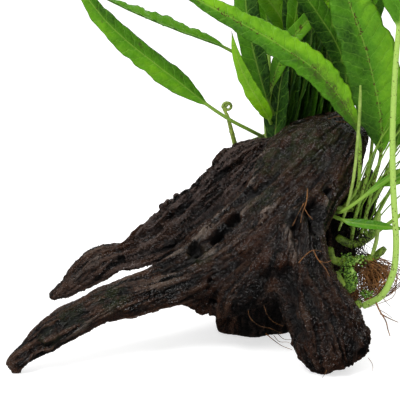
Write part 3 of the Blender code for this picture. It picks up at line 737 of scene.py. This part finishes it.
def add_blades(title, made, look, *replaced):
    """Fronds as one piece, with the values that their colours need."""
    mesh = make_mesh(title, *joined([loft for loft, _ in made]))
    for key in made[0][1]:
        give(mesh, key, np.concatenate([values[key] for _, values in made]))
    add_piece(title, mesh, look, "fern_leaf", *replaced)


def build_fronds(look):
    """Every frond, each standing for its own CAD node."""
    for seed, name in enumerate(sorted(n for n in NODES if n.startswith("frond_"))):
        style = {**LEAF_DEFAULTS, **LEAF_STYLES.get(name, {})}
        add_blades(name.replace("frond", "leaf"), [frond_surface(sections_of(NODES[name]), style, seed + 1)],
                   look, name)


# The small leaves are dark with painted shade of the clump's inside.
SMALL_LEAVES = 36         # dark leaves inside the clump
CREST = ((9, 16, 91), (50, 22, 102))
# Bare stalks at the clump's right: base, heading and rise in degrees, length, radius, bend, tone.
SMALL_STALKS = [
    ((51, -4, 66), -60, 70, 66, 0.42, 16, 0.5), ((54, -2, 62), -20, 74, 74, 0.45, 14, 0.45),
    ((57, 2, 60), 0, 70, 70, 0.40, 18, 0.6), ((60, 6, 60), 10, 66, 62, 0.42, 18, 0.5),
    ((58, -4, 58), -30, 62, 60, 0.38, 22, 0.6), ((50, -8, 70), -70, 64, 52, 0.40, 18, 0.55),
    ((55, 4, 66), 30, 76, 66, 0.42, 12, 0.4), ((62, 2, 56), -10, 56, 52, 0.36, 24, 0.6),
    ((52, -8, 64), -40, 70, 72, 0.42, 14, 0.55), ((56, 0, 64), 5, 66, 78, 0.42, 16, 0.5),
    ((50, -6, 58), -50, 62, 68, 0.40, 20, 0.6), ((60, 0, 50), -15, 72, 80, 0.42, 14, 0.45),
    ((53, -6, 54), -50, 80, 70, 0.45, 10, 0.5), ((59, -2, 52), 0, 80, 72, 0.42, 12, 0.45),
]


def grown(base, heading, rise, length, half, stalk, radius, bend):
    """Sections of a small leaf: a path that leans over by its bend, and half widths of
    radius + (half - radius) * sin(pi * t^0.8)^0.9, where t runs over the blade."""
    share = np.linspace(0, 1, 14)
    heading, climb = math.radians(heading), np.radians(rise - bend * share ** 1.5 * 2)
    level = np.array([math.cos(heading), math.sin(heading), 0])
    way = np.cos(climb)[:, None] * level + np.sin(climb)[:, None] * (0, 0, 1)
    middle = np.asarray(base, float) + np.concatenate([[[0, 0, 0]], np.cumsum(
        (way[1:] + way[:-1]) / 2 * length / 13, axis=0)])
    side = np.broadcast_to(np.cross(level, (0, 0, 1)), middle.shape).copy()
    along = np.clip((share - stalk) / (1 - stalk), 0, 1)
    width = radius + (half - radius) * np.sin(np.pi * along ** 0.8) ** 0.9 * (along > 0)
    return middle, side, width, np.full(14, radius)


def build_small_growth(look):
    """The small leaves of the clump's inside, darkened with painted shade, and the bare stalks that fan out
    at its right.

    The leaves stand along the crest, lean backwards or to the right, and differ at random.
    """
    rng = np.random.default_rng(21)
    leaves = []
    for share in np.linspace(0, 1, SMALL_LEAVES):
        aside = (rng.uniform(-2, 2), rng.uniform(-7, 2), -4)
        base = np.asarray(CREST[0]) * (1 - share) + np.asarray(CREST[1]) * share + aside
        heading, rise = rng.uniform(0, 60 + 100 * share), rng.uniform(76, 88)
        length, half = rng.uniform(50, 90), rng.uniform(5, 9)
        shape = (heading, rise, length, half, rng.uniform(0.0, 0.16), 0.5, rng.uniform(6, 16))
        # Low tones: painted shade of the clump's inside.
        leaves.append((grown(base, *shape), {"tone": rng.uniform(-0.05, 0.16), "specks": 0.8,
                                             "stations": 42, "pale": 0.15}))
    stalks = [(grown(base, heading, rise, length, radius + 0.02, 0.9, radius, bend),
               {"tone": tone, "specks": 0.8, "stations": 40, "pale": 0.25})
              for base, heading, rise, length, radius, bend, tone in SMALL_STALKS]
    for title, part in (("small_leaves", leaves), ("small_stalks", stalks)):
        add_blades(title, [frond_surface(sections, {**LEAF_DEFAULTS, **style}, 60 + seed)
                           for seed, (sections, style) in enumerate(part)], look)


# ---------------------------------------------------------------- rhizomes, stalks, shoots

# CAD bars that get a worn skin: grid, height of their bumps, length of the bumps, look, slot.
BARS = {
    "rhizome_crest": (0.55, 0.45, 2.4, "rhizome", "rhizome_skin"),
    "rhizome_side": (0.5, 0.4, 2.2, "rhizome", "rhizome_skin"),
    "rhizome_lower": (0.5, 0.35, 2.4, "rhizome", "rhizome_skin"),
    "rhizome_heel": (0.5, 0.4, 2.2, "rhizome", "rhizome_skin"),
    "rhizome_upper": (0.5, 0.35, 2.2, "rhizome", "rhizome_skin"),
    "rhizome_tip": (0.45, 0.3, 2.0, "rhizome", "rhizome_skin"),
    "young_shoot": (0.32, 0.1, 2.5, "stalk", "green_stalk"),
    "cut_stalk": (0.3, 0.08, 3.0, "stalk", "green_stalk"),
    "fiddlehead": (0.28, 0.2, 0.9, "crozier", "green_stalk"),
}
SWOLLEN = {"fiddlehead": 0.35}  # how far a bar's skin stands proud of it
CURL = (-13.4, 14.8, 116.0)     # middle of the fiddlehead's curl
CURL_DRAWN = 0.26               # how far the curl is drawn in about that middle
FOOTING = (1.6, 0.0, -6.5)      # how far the fiddlehead's base runs on down into the wood


def settled(points):
    """The fiddlehead with its curl drawn in and its base run on down into the wood."""
    points = points + (np.asarray(CURL) - points) * (CURL_DRAWN * ramp(points[:, 2], 102, 110))[:, None]
    return points + np.asarray(FOOTING) * (1 - ramp(points[:, 2], 97.6, 103))[:, None]


def build_bars(looks):
    """Rhizomes, shoot, cut stalk and fiddlehead: their CAD bars melted fine, smoothed and bumped by noise."""
    for seed, (name, (voxel, height, length, look, slot)) in enumerate(BARS.items()):
        points, quads = melted([name], SWOLLEN.get(name, 0.0), voxel)
        points = smoothed(points, quads, 8)
        lift = height * layered(points / length, 2, 200 + seed)
        points = points + normals_of(points, quads) * lift[:, None]
        points = settled(points) if name == "fiddlehead" else points
        add_piece(name + "_skin", make_mesh(name + "_skin", points, quads), looks[look], slot, name)


# ---------------------------------------------------------------- roots, hairs and moss

FIBRE_STEPS = 9           # rings along a fibre
FIBRE_SIDES = 5
LOOP_STEPS = 12           # rings along a fibre that arches
LOWEST = 0.4              # no fibre reaches further down than this


def fibres(starts, ways, lengths, radii, sag, wander, seed):
    """Thin tapering tubes: each runs from its start along its way, sags and wanders.

    It sags by sag * length * t^2.  The wander is noise along the fibre, grown from nothing at its start.
    """
    share = np.linspace(0, 1, FIBRE_STEPS)
    parts = []
    for index, (start, way, length, radius) in enumerate(zip(starts, ways, lengths, radii)):
        drift = drifting(share * 2.2, index * 3.7, seed, 31.1)
        path = start + np.outer(share * length, way) + drift * (wander * length * share)[:, None]
        path[:, 2] = np.maximum(path[:, 2] - sag * length * share ** 2, LOWEST)
        parts.append(lofted(bar_rings(path, radius * (1 - 0.65 * share), FIBRE_SIDES)))
    return joined(parts)


def drifting(along, offset, seed, apart):
    """Three rows of noise along a fibre, one for each axis."""
    row = np.column_stack([along, 0 * along + offset, 0 * along + seed])
    return np.column_stack([noise(row + axis * apart, seed + axis) for axis in range(3)])


def loops(count, rng, top, top_size, foot, foot_size, bulge, seed):
    """Fibres that arch from a spot near the top to one near the foot, pushed out towards +X and -Y by
    bulge * 4 t (1 - t), and wandering by noise in between."""
    share = np.linspace(0, 1, LOOP_STEPS)
    arch = (4 * share * (1 - share))[:, None]
    parts = []
    for index in range(count):
        start = np.asarray(top) + (rng.random(3) - 0.5) * top_size
        end = np.asarray(foot) + (rng.random(3) - 0.5) * foot_size
        push = np.array([bulge[0] * rng.uniform(0.2, 1.5), -bulge[1] * rng.uniform(-1, 1),
                         1.5 * rng.random()])
        drift = drifting(share * 2.6, index * 4.1, seed, 23.7)
        path = start + np.outer(share, end - start) + (push + 3.5 * drift) * arch
        radius = rng.uniform(0.2, 0.36) * (1 - 0.5 * share)
        parts.append(lofted(bar_rings(path, radius, FIBRE_SIDES)))
    return joined(parts)


def tangle(rng, count, centre, size, heading, spread, lengths, radii, sag, wander, seed):
    """Fibres that start inside a stretched ball and run about a heading, at random."""
    starts = unit(rng.normal(size=(count, 3))) * rng.random((count, 1)) ** 0.4
    starts = centre + starts * size / 2
    ways = unit(heading + spread * rng.normal(size=(count, 3)))
    return fibres(starts, ways, rng.uniform(*lengths, count), rng.uniform(*radii, count), sag, wander, seed)


CORE_SHIFT = 2.5          # how far the root cores sit in towards the wood


def build_roots(look, dark):
    """The root bundle and mat: a ragged core, melted from the CAD clump and painted near black as shade,
    under a tangle of fibres; the mat's and the heel's fibres are painted near black as shade too.
    """
    rng = np.random.default_rng(5)
    for name, seed, sunk in (("root_bundle", 91, 3.6), ("root_mat", 95, 1.9)):
        points, quads = melted([name], 0.0, 0.8)
        points = smoothed(points, quads, 6)
        lift = 2.2 * layered(points / 2.6, 3, seed) - sunk
        points = points + normals_of(points, quads) * lift[:, None]
        points[:, 0] -= CORE_SHIFT
        add_piece(name + "_core", make_mesh(name + "_core", points, quads), dark, "root_fibre", name)
    arcs = loops(95, rng, (54, -15, 42), (12, 10, 6), (54, -15, 23), (17, 10, 12), (13, 6), 41)
    fine = tangle(rng, 60, (57, -13, 34), (12, 9, 15), (0.4, -0.3, -0.3), 0.8,
                  (7, 13), (0.18, 0.28), 0.5, 0.45, 43)
    add_loft("root_bundle_fibres", joined([arcs, fine]), look, "root_fibre")
    mat = tangle(rng, 420, (55, 1, 66), (11, 14, 32), (-0.2, -0.6, -0.2), 0.6,
                 (4, 8), (0.2, 0.4), 0.3, 0.4, 47)
    add_loft("root_mat_fibres", mat, dark, "root_fibre")
    heel = tangle(rng, 170, (52, -9, 46), (12, 12, 26), (0.2, -0.5, -0.4), 0.8,
                  (5, 12), (0.16, 0.3), 0.4, 0.4, 49)
    add_loft("heel_fibres", heel, dark, "root_fibre")


HAIRS = [
    # points, radius
    ([(6, -24, 6), (9, -26, 4), (14, -30, 1.6), (19, -33, 0.6)], 0.28),
    ([(12, -24, 6), (15, -27, 4.2), (19, -29, 4.6), (22, -30, 5.5)], 0.2),
    ([(10, -24, 5), (13, -28, 3), (17, -29, 3.2), (19, -30, 2.4)], 0.18),
    ([(-4, -47, 30), (-3, -44, 22), (2, -40, 16), (8, -36, 13), (14, -36, 10)], 0.16),
    ([(4, -44, 28), (6, -42, 22), (9, -40, 18), (14, -38, 15)], 0.14),
    ([(60, -37, 27), (62, -39, 23), (65, -40, 18), (66, -41, 14), (67, -42, 11)], 0.5),
    ([(62, -39, 22), (66, -40, 20), (71, -41, 18)], 0.38),
    ([(61, -38, 24), (65, -39, 22), (68, -40, 20)], 0.18),
    ([(25, -38, 86), (24, -43, 80), (22, -47, 76), (21, -50, 72)], 0.3),
    ([(23, -43, 80), (20, -48, 76), (17, -52, 71)], 0.22),
    ([(23, -45, 78), (25, -47, 75), (27, -48, 73)], 0.2),
    ([(20, -57, 54), (23, -58, 58), (27, -56, 60), (31, -55, 59)], 0.26),
    ([(27, -56, 60), (29, -57, 56), (33, -57, 51), (35, -57, 47)], 0.3),
    ([(30, -57, 55), (33, -57, 54), (36, -56, 55)], 0.2),
    ([(46, 0, 112), (42, -6, 115), (36, -9, 114), (31, -10, 112)], 0.26),
    ([(50, -6, 108), (47, -12, 113), (40, -14, 114)], 0.2),
    ([(34, -68, 6), (33, -71, 3), (31, -73, 1)], 0.2),
    ([(54, -64, 8), (56, -66, 5), (56, -67, 2)], 0.18),
]


def build_hairs(look):
    """Loose roots that hang from the wood or cling to it: thin tapering tubes along their points."""
    parts = []
    for points, radius in HAIRS:
        path = smooth_path(points, 1.2)
        parts.append(lofted(bar_rings(path, radius * np.linspace(1, 0.45, len(path)), 6)))
    add_loft("loose_roots", joined(parts), look, "root_fibre")


MOSS_TUFT = ((48, -29, 36), (2.9, 2.3, 6.0), 330)   # middle, half sizes, grains
# Moss scattered beside the tuft: middle, spread, grains.
MOSS_PATCHES = [
    ((49, -22, 45), (9, 5, 5), 90), ((47, -27, 41), (5, 4, 6), 80), ((56, -24, 27), (4, 3, 3), 50),
    ((60, -18, 60), (5, 5, 5), 30),
]
BEAD_RINGS = (-0.9, -0.3, 0.35, 0.9)   # a bead's rings, as angles above its middle
BEAD_SIDES = 6
BEAD_HEIGHT = 0.8         # a bead's height against its width


def build_moss(look):
    """Small green grains crowded over the moss tuft and scattered along the rhizomes, each a low bead."""
    rng = np.random.default_rng(8)
    centre, size, count = MOSS_TUFT
    middles = [centre + unit(rng.normal(size=(count, 3))) * size]
    for centre, size, count in MOSS_PATCHES:
        middles.append(np.asarray(centre) + rng.normal(size=(count, 3)) * np.asarray(size) / 3)
    middles = np.concatenate(middles)
    sizes = rng.uniform(0.35, 0.85, len(middles))
    level = np.array(BEAD_RINGS)[:, None]
    turn = np.arange(BEAD_SIDES) * 2 * np.pi / BEAD_SIDES
    ball = np.stack([np.cos(level) * np.cos(turn), np.cos(level) * np.sin(turn),
                     np.sin(level) + 0 * turn], axis=2)
    parts = [lofted(middle + ball * size * (1, 1, BEAD_HEIGHT)) for middle, size in zip(middles, sizes)]
    add_loft("moss_grains", joined(parts), look, "moss", "moss_tuft")


# ---------------------------------------------------------------- materials

class Value:
    """An output on a board, whose arithmetic adds Math nodes."""

    def __init__(self, board, socket):
        self.board = board
        self.socket = socket

    def __add__(self, other):
        return self.board.math("ADD", self, other)

    def __sub__(self, other):
        return self.board.math("SUBTRACT", self, other)

    def __rsub__(self, other):
        return self.board.math("SUBTRACT", other, self)

    def __mul__(self, other):
        return self.board.math("MULTIPLY", self, other)

    def __truediv__(self, other):
        return self.board.math("DIVIDE", self, other)

    def __abs__(self):
        return self.board.math("ABSOLUTE", self)

    __radd__ = __add__
    __rmul__ = __mul__

    def ramp(self, low, high, out_low=0.0, out_high=1.0):
        """low..high mapped to out_low..out_high with an eased clamp."""
        return self.board.value("ShaderNodeMapRange", {"Value": self, "From Min": low, "From Max": high,
                                                       "To Min": out_low, "To Max": out_high},
                                interpolation_type="SMOOTHSTEP")


class Board:
    """A node tree that nodes are added to and wired up on."""

    def __init__(self, tree):
        self.tree = tree

    def feed(self, socket, value):
        """An input linked to a Value, or set to a number or a colour."""
        if isinstance(value, Value):
            self.tree.links.new(value.socket, socket)
        else:
            socket.default_value = (*value, 1) if socket.type == "RGBA" else value

    def node(self, kind, inputs=(), **settings):
        """A node with its settings and its inputs."""
        made = self.tree.nodes.new(kind)
        for key, value in settings.items():
            setattr(made, key, value)
        for key, value in dict(inputs).items():
            self.feed(made.inputs[key], value)
        return made

    def value(self, kind, inputs=(), output=0, **settings):
        """One output of a new node."""
        return Value(self, self.node(kind, inputs, **settings).outputs[output])

    def math(self, operation, *values):
        """The result of a Math node."""
        return self.value("ShaderNodeMath", dict(enumerate(values)), operation=operation)

    def mix(self, share, first, second):
        """A colour between two."""
        return self.value("ShaderNodeMix", {0: share, 6: first, 7: second}, 2, data_type="RGBA")

    def noise(self, vector, scale, detail, roughness):
        """The value of a noise texture."""
        return self.value("ShaderNodeTexNoise", {"Vector": vector, "Scale": scale, "Detail": detail,
                                                 "Roughness": roughness})

    def attribute(self, name):
        """A per-point vector attribute."""
        return self.value("ShaderNodeAttribute", (), "Vector", attribute_name=name)

    def split(self, vector):
        """The three numbers of a vector."""
        return [Value(self, part) for part in self.node("ShaderNodeSeparateXYZ", {0: vector}).outputs]

    def scaled(self, vector, factors):
        """A vector times fixed factors."""
        return self.value("ShaderNodeVectorMath", {0: vector, 1: factors}, operation="MULTIPLY")

    def object_place(self):
        """Object coordinates in millimetres."""
        return self.scaled(self.value("ShaderNodeTexCoord", (), "Object"), (1 / MM, 1 / MM, 1 / MM))

    def specks(self, group, vector, amount):
        """The mask of the brown specks."""
        return self.value("ShaderNodeGroup", {"Vector": vector, "Amount": amount}, node_tree=group)

    def surface(self, colour, rough, height, distance, strength, specular=0.5):
        """The board's material with this colour, roughness and bump, whose distance is in millimetres."""
        bump = self.value("ShaderNodeBump", {"Height": height, "Distance": distance * MM,
                                             "Strength": strength})
        for title, value in (("Base Color", colour), ("Roughness", rough), ("Normal", bump),
                             ("Specular IOR Level", specular)):
            self.feed(self.shader.inputs[title], value)
        return self.material


def material_board(name):
    """The board of a new material, which keeps the material and its Principled shader."""
    made = bpy.data.materials.new(name)
    made.use_nodes = True
    board = Board(made.node_tree)
    board.material = made
    board.shader = made.node_tree.nodes["Principled BSDF"]
    return board


def wood_look():
    """Wet, nearly black wood: lips with a pale painted highlight, red-brown streaks and green film,
    near-black painted shade in its recesses, glossy on its swells.
    """
    board = material_board("wet_driftwood")
    grain = board.attribute("grain")
    _, ribbon, strand = board.split(board.attribute("fibre"))
    painted_shade, lip, algae = board.split(board.attribute("painted_shade_highlight_film"))
    slab, nodular, calm = board.split(board.attribute("zone"))
    place = board.object_place()
    threads = board.noise(board.scaled(grain, (1, 1, 0.06)), 1.05, 2, 0.6)
    ticks = board.noise(board.scaled(grain, (1, 1, 0.55)), 1.1, 2, 0.6)
    patches = board.noise(place, 0.055, 3, 0.55)
    crumbs = board.noise(place, 0.8, 3, 0.65)
    red = board.noise(board.scaled(grain, (1, 1, 0.14)), 0.16, 2, 0.5)

    tone = 0.28 * strand + 0.22 * ribbon + 0.25 * threads + 0.25 * ticks
    rust = red.ramp(0.46, 0.62) * patches.ramp(0.36, 0.58) * (1 - algae)
    green = algae * board.noise(place, 0.25, 3, 0.6).ramp(0.40, 0.58)
    # Painted highlight: the lips painted pale where the strands and threads run high.
    pale = lip * (0.6 * strand + 0.4 * threads).ramp(0.47, 0.60)
    warm = calm * (1 - green) * tone.ramp(0.40, 0.62)
    grey = slab * (0.5 * crumbs + 0.5 * strand).ramp(0.46, 0.64)
    colour = board.mix(tone.ramp(0.36, 0.60), (0.0014, 0.0008, 0.0006), (0.0215, 0.0090, 0.0050))
    # Of these paints, the pale one on the lips is a painted highlight, and the last, near black, is painted
    # shade.
    for share, paint in ((0.6 * tone.ramp(0.54, 0.72), (0.047, 0.028, 0.019)),
                         (0.6 * rust, (0.040, 0.0145, 0.0070)), (0.7 * green, (0.015, 0.023, 0.007)),
                         (0.6 * pale, (0.16, 0.125, 0.10)), (0.6 * warm, (0.066, 0.034, 0.021)),
                         (0.7 * grey, (0.105, 0.076, 0.068)), (0.92 * painted_shade, (0.0014, 0.0011, 0.0010))):
        colour = board.mix(share, colour, paint)
    wet = board.noise(place, 0.12, 2, 0.5).ramp(0.38, 0.62)
    rough = crumbs.ramp(0.35, 0.7, 0.15, 0.36) - 0.1 * wet + 0.08 * calm + 0.3 * painted_shade
    height = threads * (0.35 + 0.5 * (slab + calm)) + 0.35 * strand
    height = height + ticks * (0.45 + 0.6 * nodular) + crumbs * (0.28 + 0.7 * slab)
    return board.surface(colour, rough, height, 2.6, 1.0, 0.6)


def speckle_group():
    """Brown specks and small dashes: 1 where there is one, and more of them where the amount is near 1."""
    group = bpy.data.node_groups.new("brown_specks", "ShaderNodeTree")
    for title, kind, side in (("Vector", "Vector", "INPUT"), ("Amount", "Float", "INPUT"),
                              ("Mask", "Float", "OUTPUT")):
        group.interface.new_socket(name=title, socket_type="NodeSocket" + kind, in_out=side)
    board = Board(group)
    inside = board.node("NodeGroupInput").outputs
    vector, amount = Value(board, inside["Vector"]), Value(board, inside["Amount"])
    both = 0.62 * board.noise(vector, 1.25, 2, 0.6) + 0.38 * board.noise(vector, 0.42, 2, 0.6)
    board.node("NodeGroupOutput", {"Mask": (both - (0.68 - 0.12 * amount)).ramp(0.0, 0.035)})
    return group


def leaf_look(specks):
    """A fern blade: midrib, slanting side veins, a net of small veins, specks, brown patches and tip."""
    board = material_board("fern_leaf")
    blade, place = board.attribute("blade"), board.object_place()
    across, along, half = board.split(blade)
    tone, brown, stalk = board.split(board.attribute("shade"))
    pale, amount, _ = board.split(board.attribute("stalk"))
    away = abs(across)
    mottle = board.noise(blade, 0.16, 3, 0.55)
    fleck = board.noise(place, 0.8, 3, 0.6)
    vein = (along - VEIN_SLANT * away) / VEIN_STEP + 0.9 * board.noise(blade, 0.22, 2, 0.5)
    vein = abs(board.math("FRACT", vein) - 0.5).ramp(0.0, 0.085, 1.0, 0.0)
    net = board.value("ShaderNodeTexVoronoi", {"Vector": blade, "Scale": 0.42}, feature="DISTANCE_TO_EDGE")
    net = net.ramp(0.0, 0.16, 1.0, 0.0)

    depth = tone + 0.42 * (mottle - 0.5) + 0.22 * (fleck - 0.5)
    lighter = 0.36 * board.math("MAXIMUM", 0.8 * vein, 0.25 * net) * (1 - stalk)
    rim = (away / half).ramp(0.93, 1.0) * mottle.ramp(0.45, 0.6)
    near = board.math("MAXIMUM", away.ramp(0.5, 2.2, 1.0, 0.18), stalk) * amount
    dots = board.specks(specks, board.scaled(blade, (1, 0.8, 1)), near) * near.ramp(0.05, 0.4)
    ragged = brown * board.noise(place, 0.9, 3, 0.65).ramp(0.34, 0.56)
    petiole = board.mix(tone.ramp(0.1, 0.8), (0.035, 0.09, 0.006), (0.16, 0.30, 0.02))
    petiole = board.mix(pale, petiole, (0.30, 0.46, 0.09))
    colour = board.mix(depth.ramp(0.0, 0.6), (0.006, 0.030, 0.002), (0.052, 0.182, 0.002))
    for share, paint in ((depth.ramp(0.5, 1.1), (0.165, 0.375, 0.004)), (lighter, (0.16, 0.36, 0.03)),
                         (0.4 * away.ramp(0.15, 0.5, 1.0, 0.0), (0.20, 0.32, 0.04)),
                         (0.35 * rim, (0.10, 0.14, 0.01)), (stalk, petiole),
                         (0.85 * dots, (0.05, 0.018, 0.006)), (0.9 * ragged, (0.040, 0.030, 0.013))):
        colour = board.mix(share, colour, paint)
    height = 0.6 * mottle + 0.15 * fleck - 0.07 * net - 0.35 * vein
    return board.surface(colour, fleck.ramp(0.3, 0.7, 0.34, 0.5), height, 0.5, 0.8, 0.2)


def stem_look(specks, name, dark, light, brown, speck_amount, roughness):
    """A stem's skin: two greens in soft patches, brown scales and specks."""
    board = material_board(name)
    place = board.object_place()
    fine = board.noise(place, 1.1, 3, 0.6)
    tone = 0.65 * board.noise(place, 0.16, 3, 0.6) + 0.35 * fine
    colour = board.mix(tone.ramp(0.36, 0.64), dark, light)
    colour = board.mix(0.9 * board.specks(specks, place, speck_amount), colour, brown)
    return board.surface(colour, fine.ramp(0.3, 0.7, roughness - 0.08, roughness + 0.1), tone, 0.6, 0.6)


def root_look(name, deep, mid, bright):
    """Root fibres: three browns in patches, dull."""
    board = material_board(name)
    place = board.object_place()
    fine = board.noise(place, 1.4, 3, 0.6)
    colour = board.mix(board.noise(place, 0.13, 2, 0.5).ramp(0.35, 0.62), deep, mid)
    colour = board.mix(fine.ramp(0.5, 0.7), colour, bright)
    return board.surface(colour, fine.ramp(0.3, 0.7, 0.5, 0.75), fine, 0.5, 0.8)


def moss_look():
    """Moss grains: bright and dark greens grain by grain, faintly wet."""
    board = material_board("moss")
    place = board.object_place()
    patch = board.noise(place, 0.9, 2, 0.5)
    colour = board.mix(patch.ramp(0.35, 0.65), (0.03, 0.085, 0.006), (0.20, 0.38, 0.035))
    colour = board.mix(board.noise(place, 0.2, 2, 0.5).ramp(0.55, 0.75), colour, (0.42, 0.60, 0.16))
    return board.surface(colour, patch.ramp(0.3, 0.7, 0.4, 0.65), patch, 0.4, 0.5)


# ---------------------------------------------------------------- stage, light and camera

AIM = Vector((-27.5, -20.0, 75.3))   # what the camera and the lights point at
CAMERA_AWAY = 800.0
CAMERA_RISE = 15.0        # degrees
LENS, SENSOR = 144, 36
FLOOR_REACH, FLOOR_CORNERS, FLOOR_LEVEL = 4000, 64, -0.3
FLOOR_GLOW = 0.62         # light that the floor gives off, so that it stays pale
GLOSS_DIMMED = 0.955      # how much of the surround is hidden from reflections
# Soft lights: name, place, size, power.
LIGHTS = (("key_light", (-450, -650, 900), 300, 7.8), ("rim_light", (500, 500, 800), 600, 4.0))


def build_stage():
    """A pale floor that reaches past every view, a white surround, two soft lights and the camera."""
    scene = bpy.context.scene
    turn = np.linspace(0, 2 * np.pi, FLOOR_CORNERS, endpoint=False)
    rim = np.column_stack([FLOOR_REACH * np.cos(turn), FLOOR_REACH * np.sin(turn), 0 * turn + FLOOR_LEVEL])
    mesh = bpy.data.meshes.new("floor")
    mesh.from_pydata((rim * MM).tolist(), [], [list(range(FLOOR_CORNERS))])
    floor = bpy.data.objects.new("floor", mesh)
    scene.collection.objects.link(floor)
    board = material_board("pale_floor")
    dim = board.value("ShaderNodeLightPath", (), "Is Glossy Ray")
    for title, value in (("Base Color", board.mix(dim, (0.55, 0.55, 0.55), (0.03, 0.03, 0.03))),
                         ("Roughness", 1.0), ("Specular IOR Level", 0.0), ("Emission Color", (1, 1, 1)),
                         ("Emission Strength", (1 - dim) * FLOOR_GLOW)):
        board.feed(board.shader.inputs[title], value)
    mesh.materials.append(board.material)

    world = bpy.data.worlds.new("surround")
    world.use_nodes = True
    board = Board(world.node_tree)
    sky = world.node_tree.nodes["Background"]
    board.feed(sky.inputs["Color"], (1, 1, 1))
    board.feed(sky.inputs["Strength"],
               1 - GLOSS_DIMMED * board.value("ShaderNodeLightPath", (), "Is Glossy Ray"))
    world.cycles.sampling_method = "NONE"
    scene.world = world
    scene.view_settings.view_transform = "Standard"

    for name, place, size, power in LIGHTS:
        light = bpy.data.lights.new(name, "AREA")
        light.size = size * MM
        light.energy = power
        lamp = bpy.data.objects.new(name, light)
        lamp.location = Vector(place) * MM
        lamp.rotation_euler = (AIM - Vector(place)).to_track_quat("-Z", "Y").to_euler()
        scene.collection.objects.link(lamp)

    lens = bpy.data.cameras.new("camera")
    lens.lens = LENS
    lens.sensor_width = SENSOR
    lens.clip_start = 0.05
    lens.clip_end = 20
    camera = bpy.data.objects.new("camera", lens)
    rise = math.radians(CAMERA_RISE)
    away = Vector((0, -math.cos(rise), math.sin(rise))) * CAMERA_AWAY
    camera.location = (AIM + away) * MM
    camera.rotation_euler = (-away).to_track_quat("-Z", "Y").to_euler()
    scene.collection.objects.link(camera)
    scene.camera = camera


# ---------------------------------------------------------------- everything

specks = speckle_group()
build_stage()
build_wood(wood_look())
blades = leaf_look(specks)
build_fronds(blades)
build_small_growth(blades)
build_bars({
    "rhizome": stem_look(specks, "rhizome_skin", (0.055, 0.10, 0.006), (0.21, 0.33, 0.022),
                         (0.02, 0.012, 0.006), 1.1, 0.5),
    "stalk": stem_look(specks, "green_stalk", (0.15, 0.24, 0.03), (0.30, 0.42, 0.09),
                       (0.06, 0.03, 0.01), 0.35, 0.4),
    "crozier": stem_look(specks, "scaly_crozier", (0.10, 0.16, 0.015), (0.28, 0.38, 0.055),
                         (0.06, 0.030, 0.008), 0.8, 0.5)})
roots = root_look("root_fibre", (0.05, 0.020, 0.006), (0.24, 0.092, 0.018), (0.36, 0.16, 0.036))
# Near-black browns: painted shade of the shadowed root mass, given to the root cores and to the mat's and
# heel's fibres.
shaded_roots = root_look("painted_shade_root", (0.003, 0.002, 0.0015), (0.012, 0.007, 0.004), (0.035, 0.020, 0.008))
build_roots(roots, shaded_roots)
build_hairs(roots)
build_moss(moss_look())
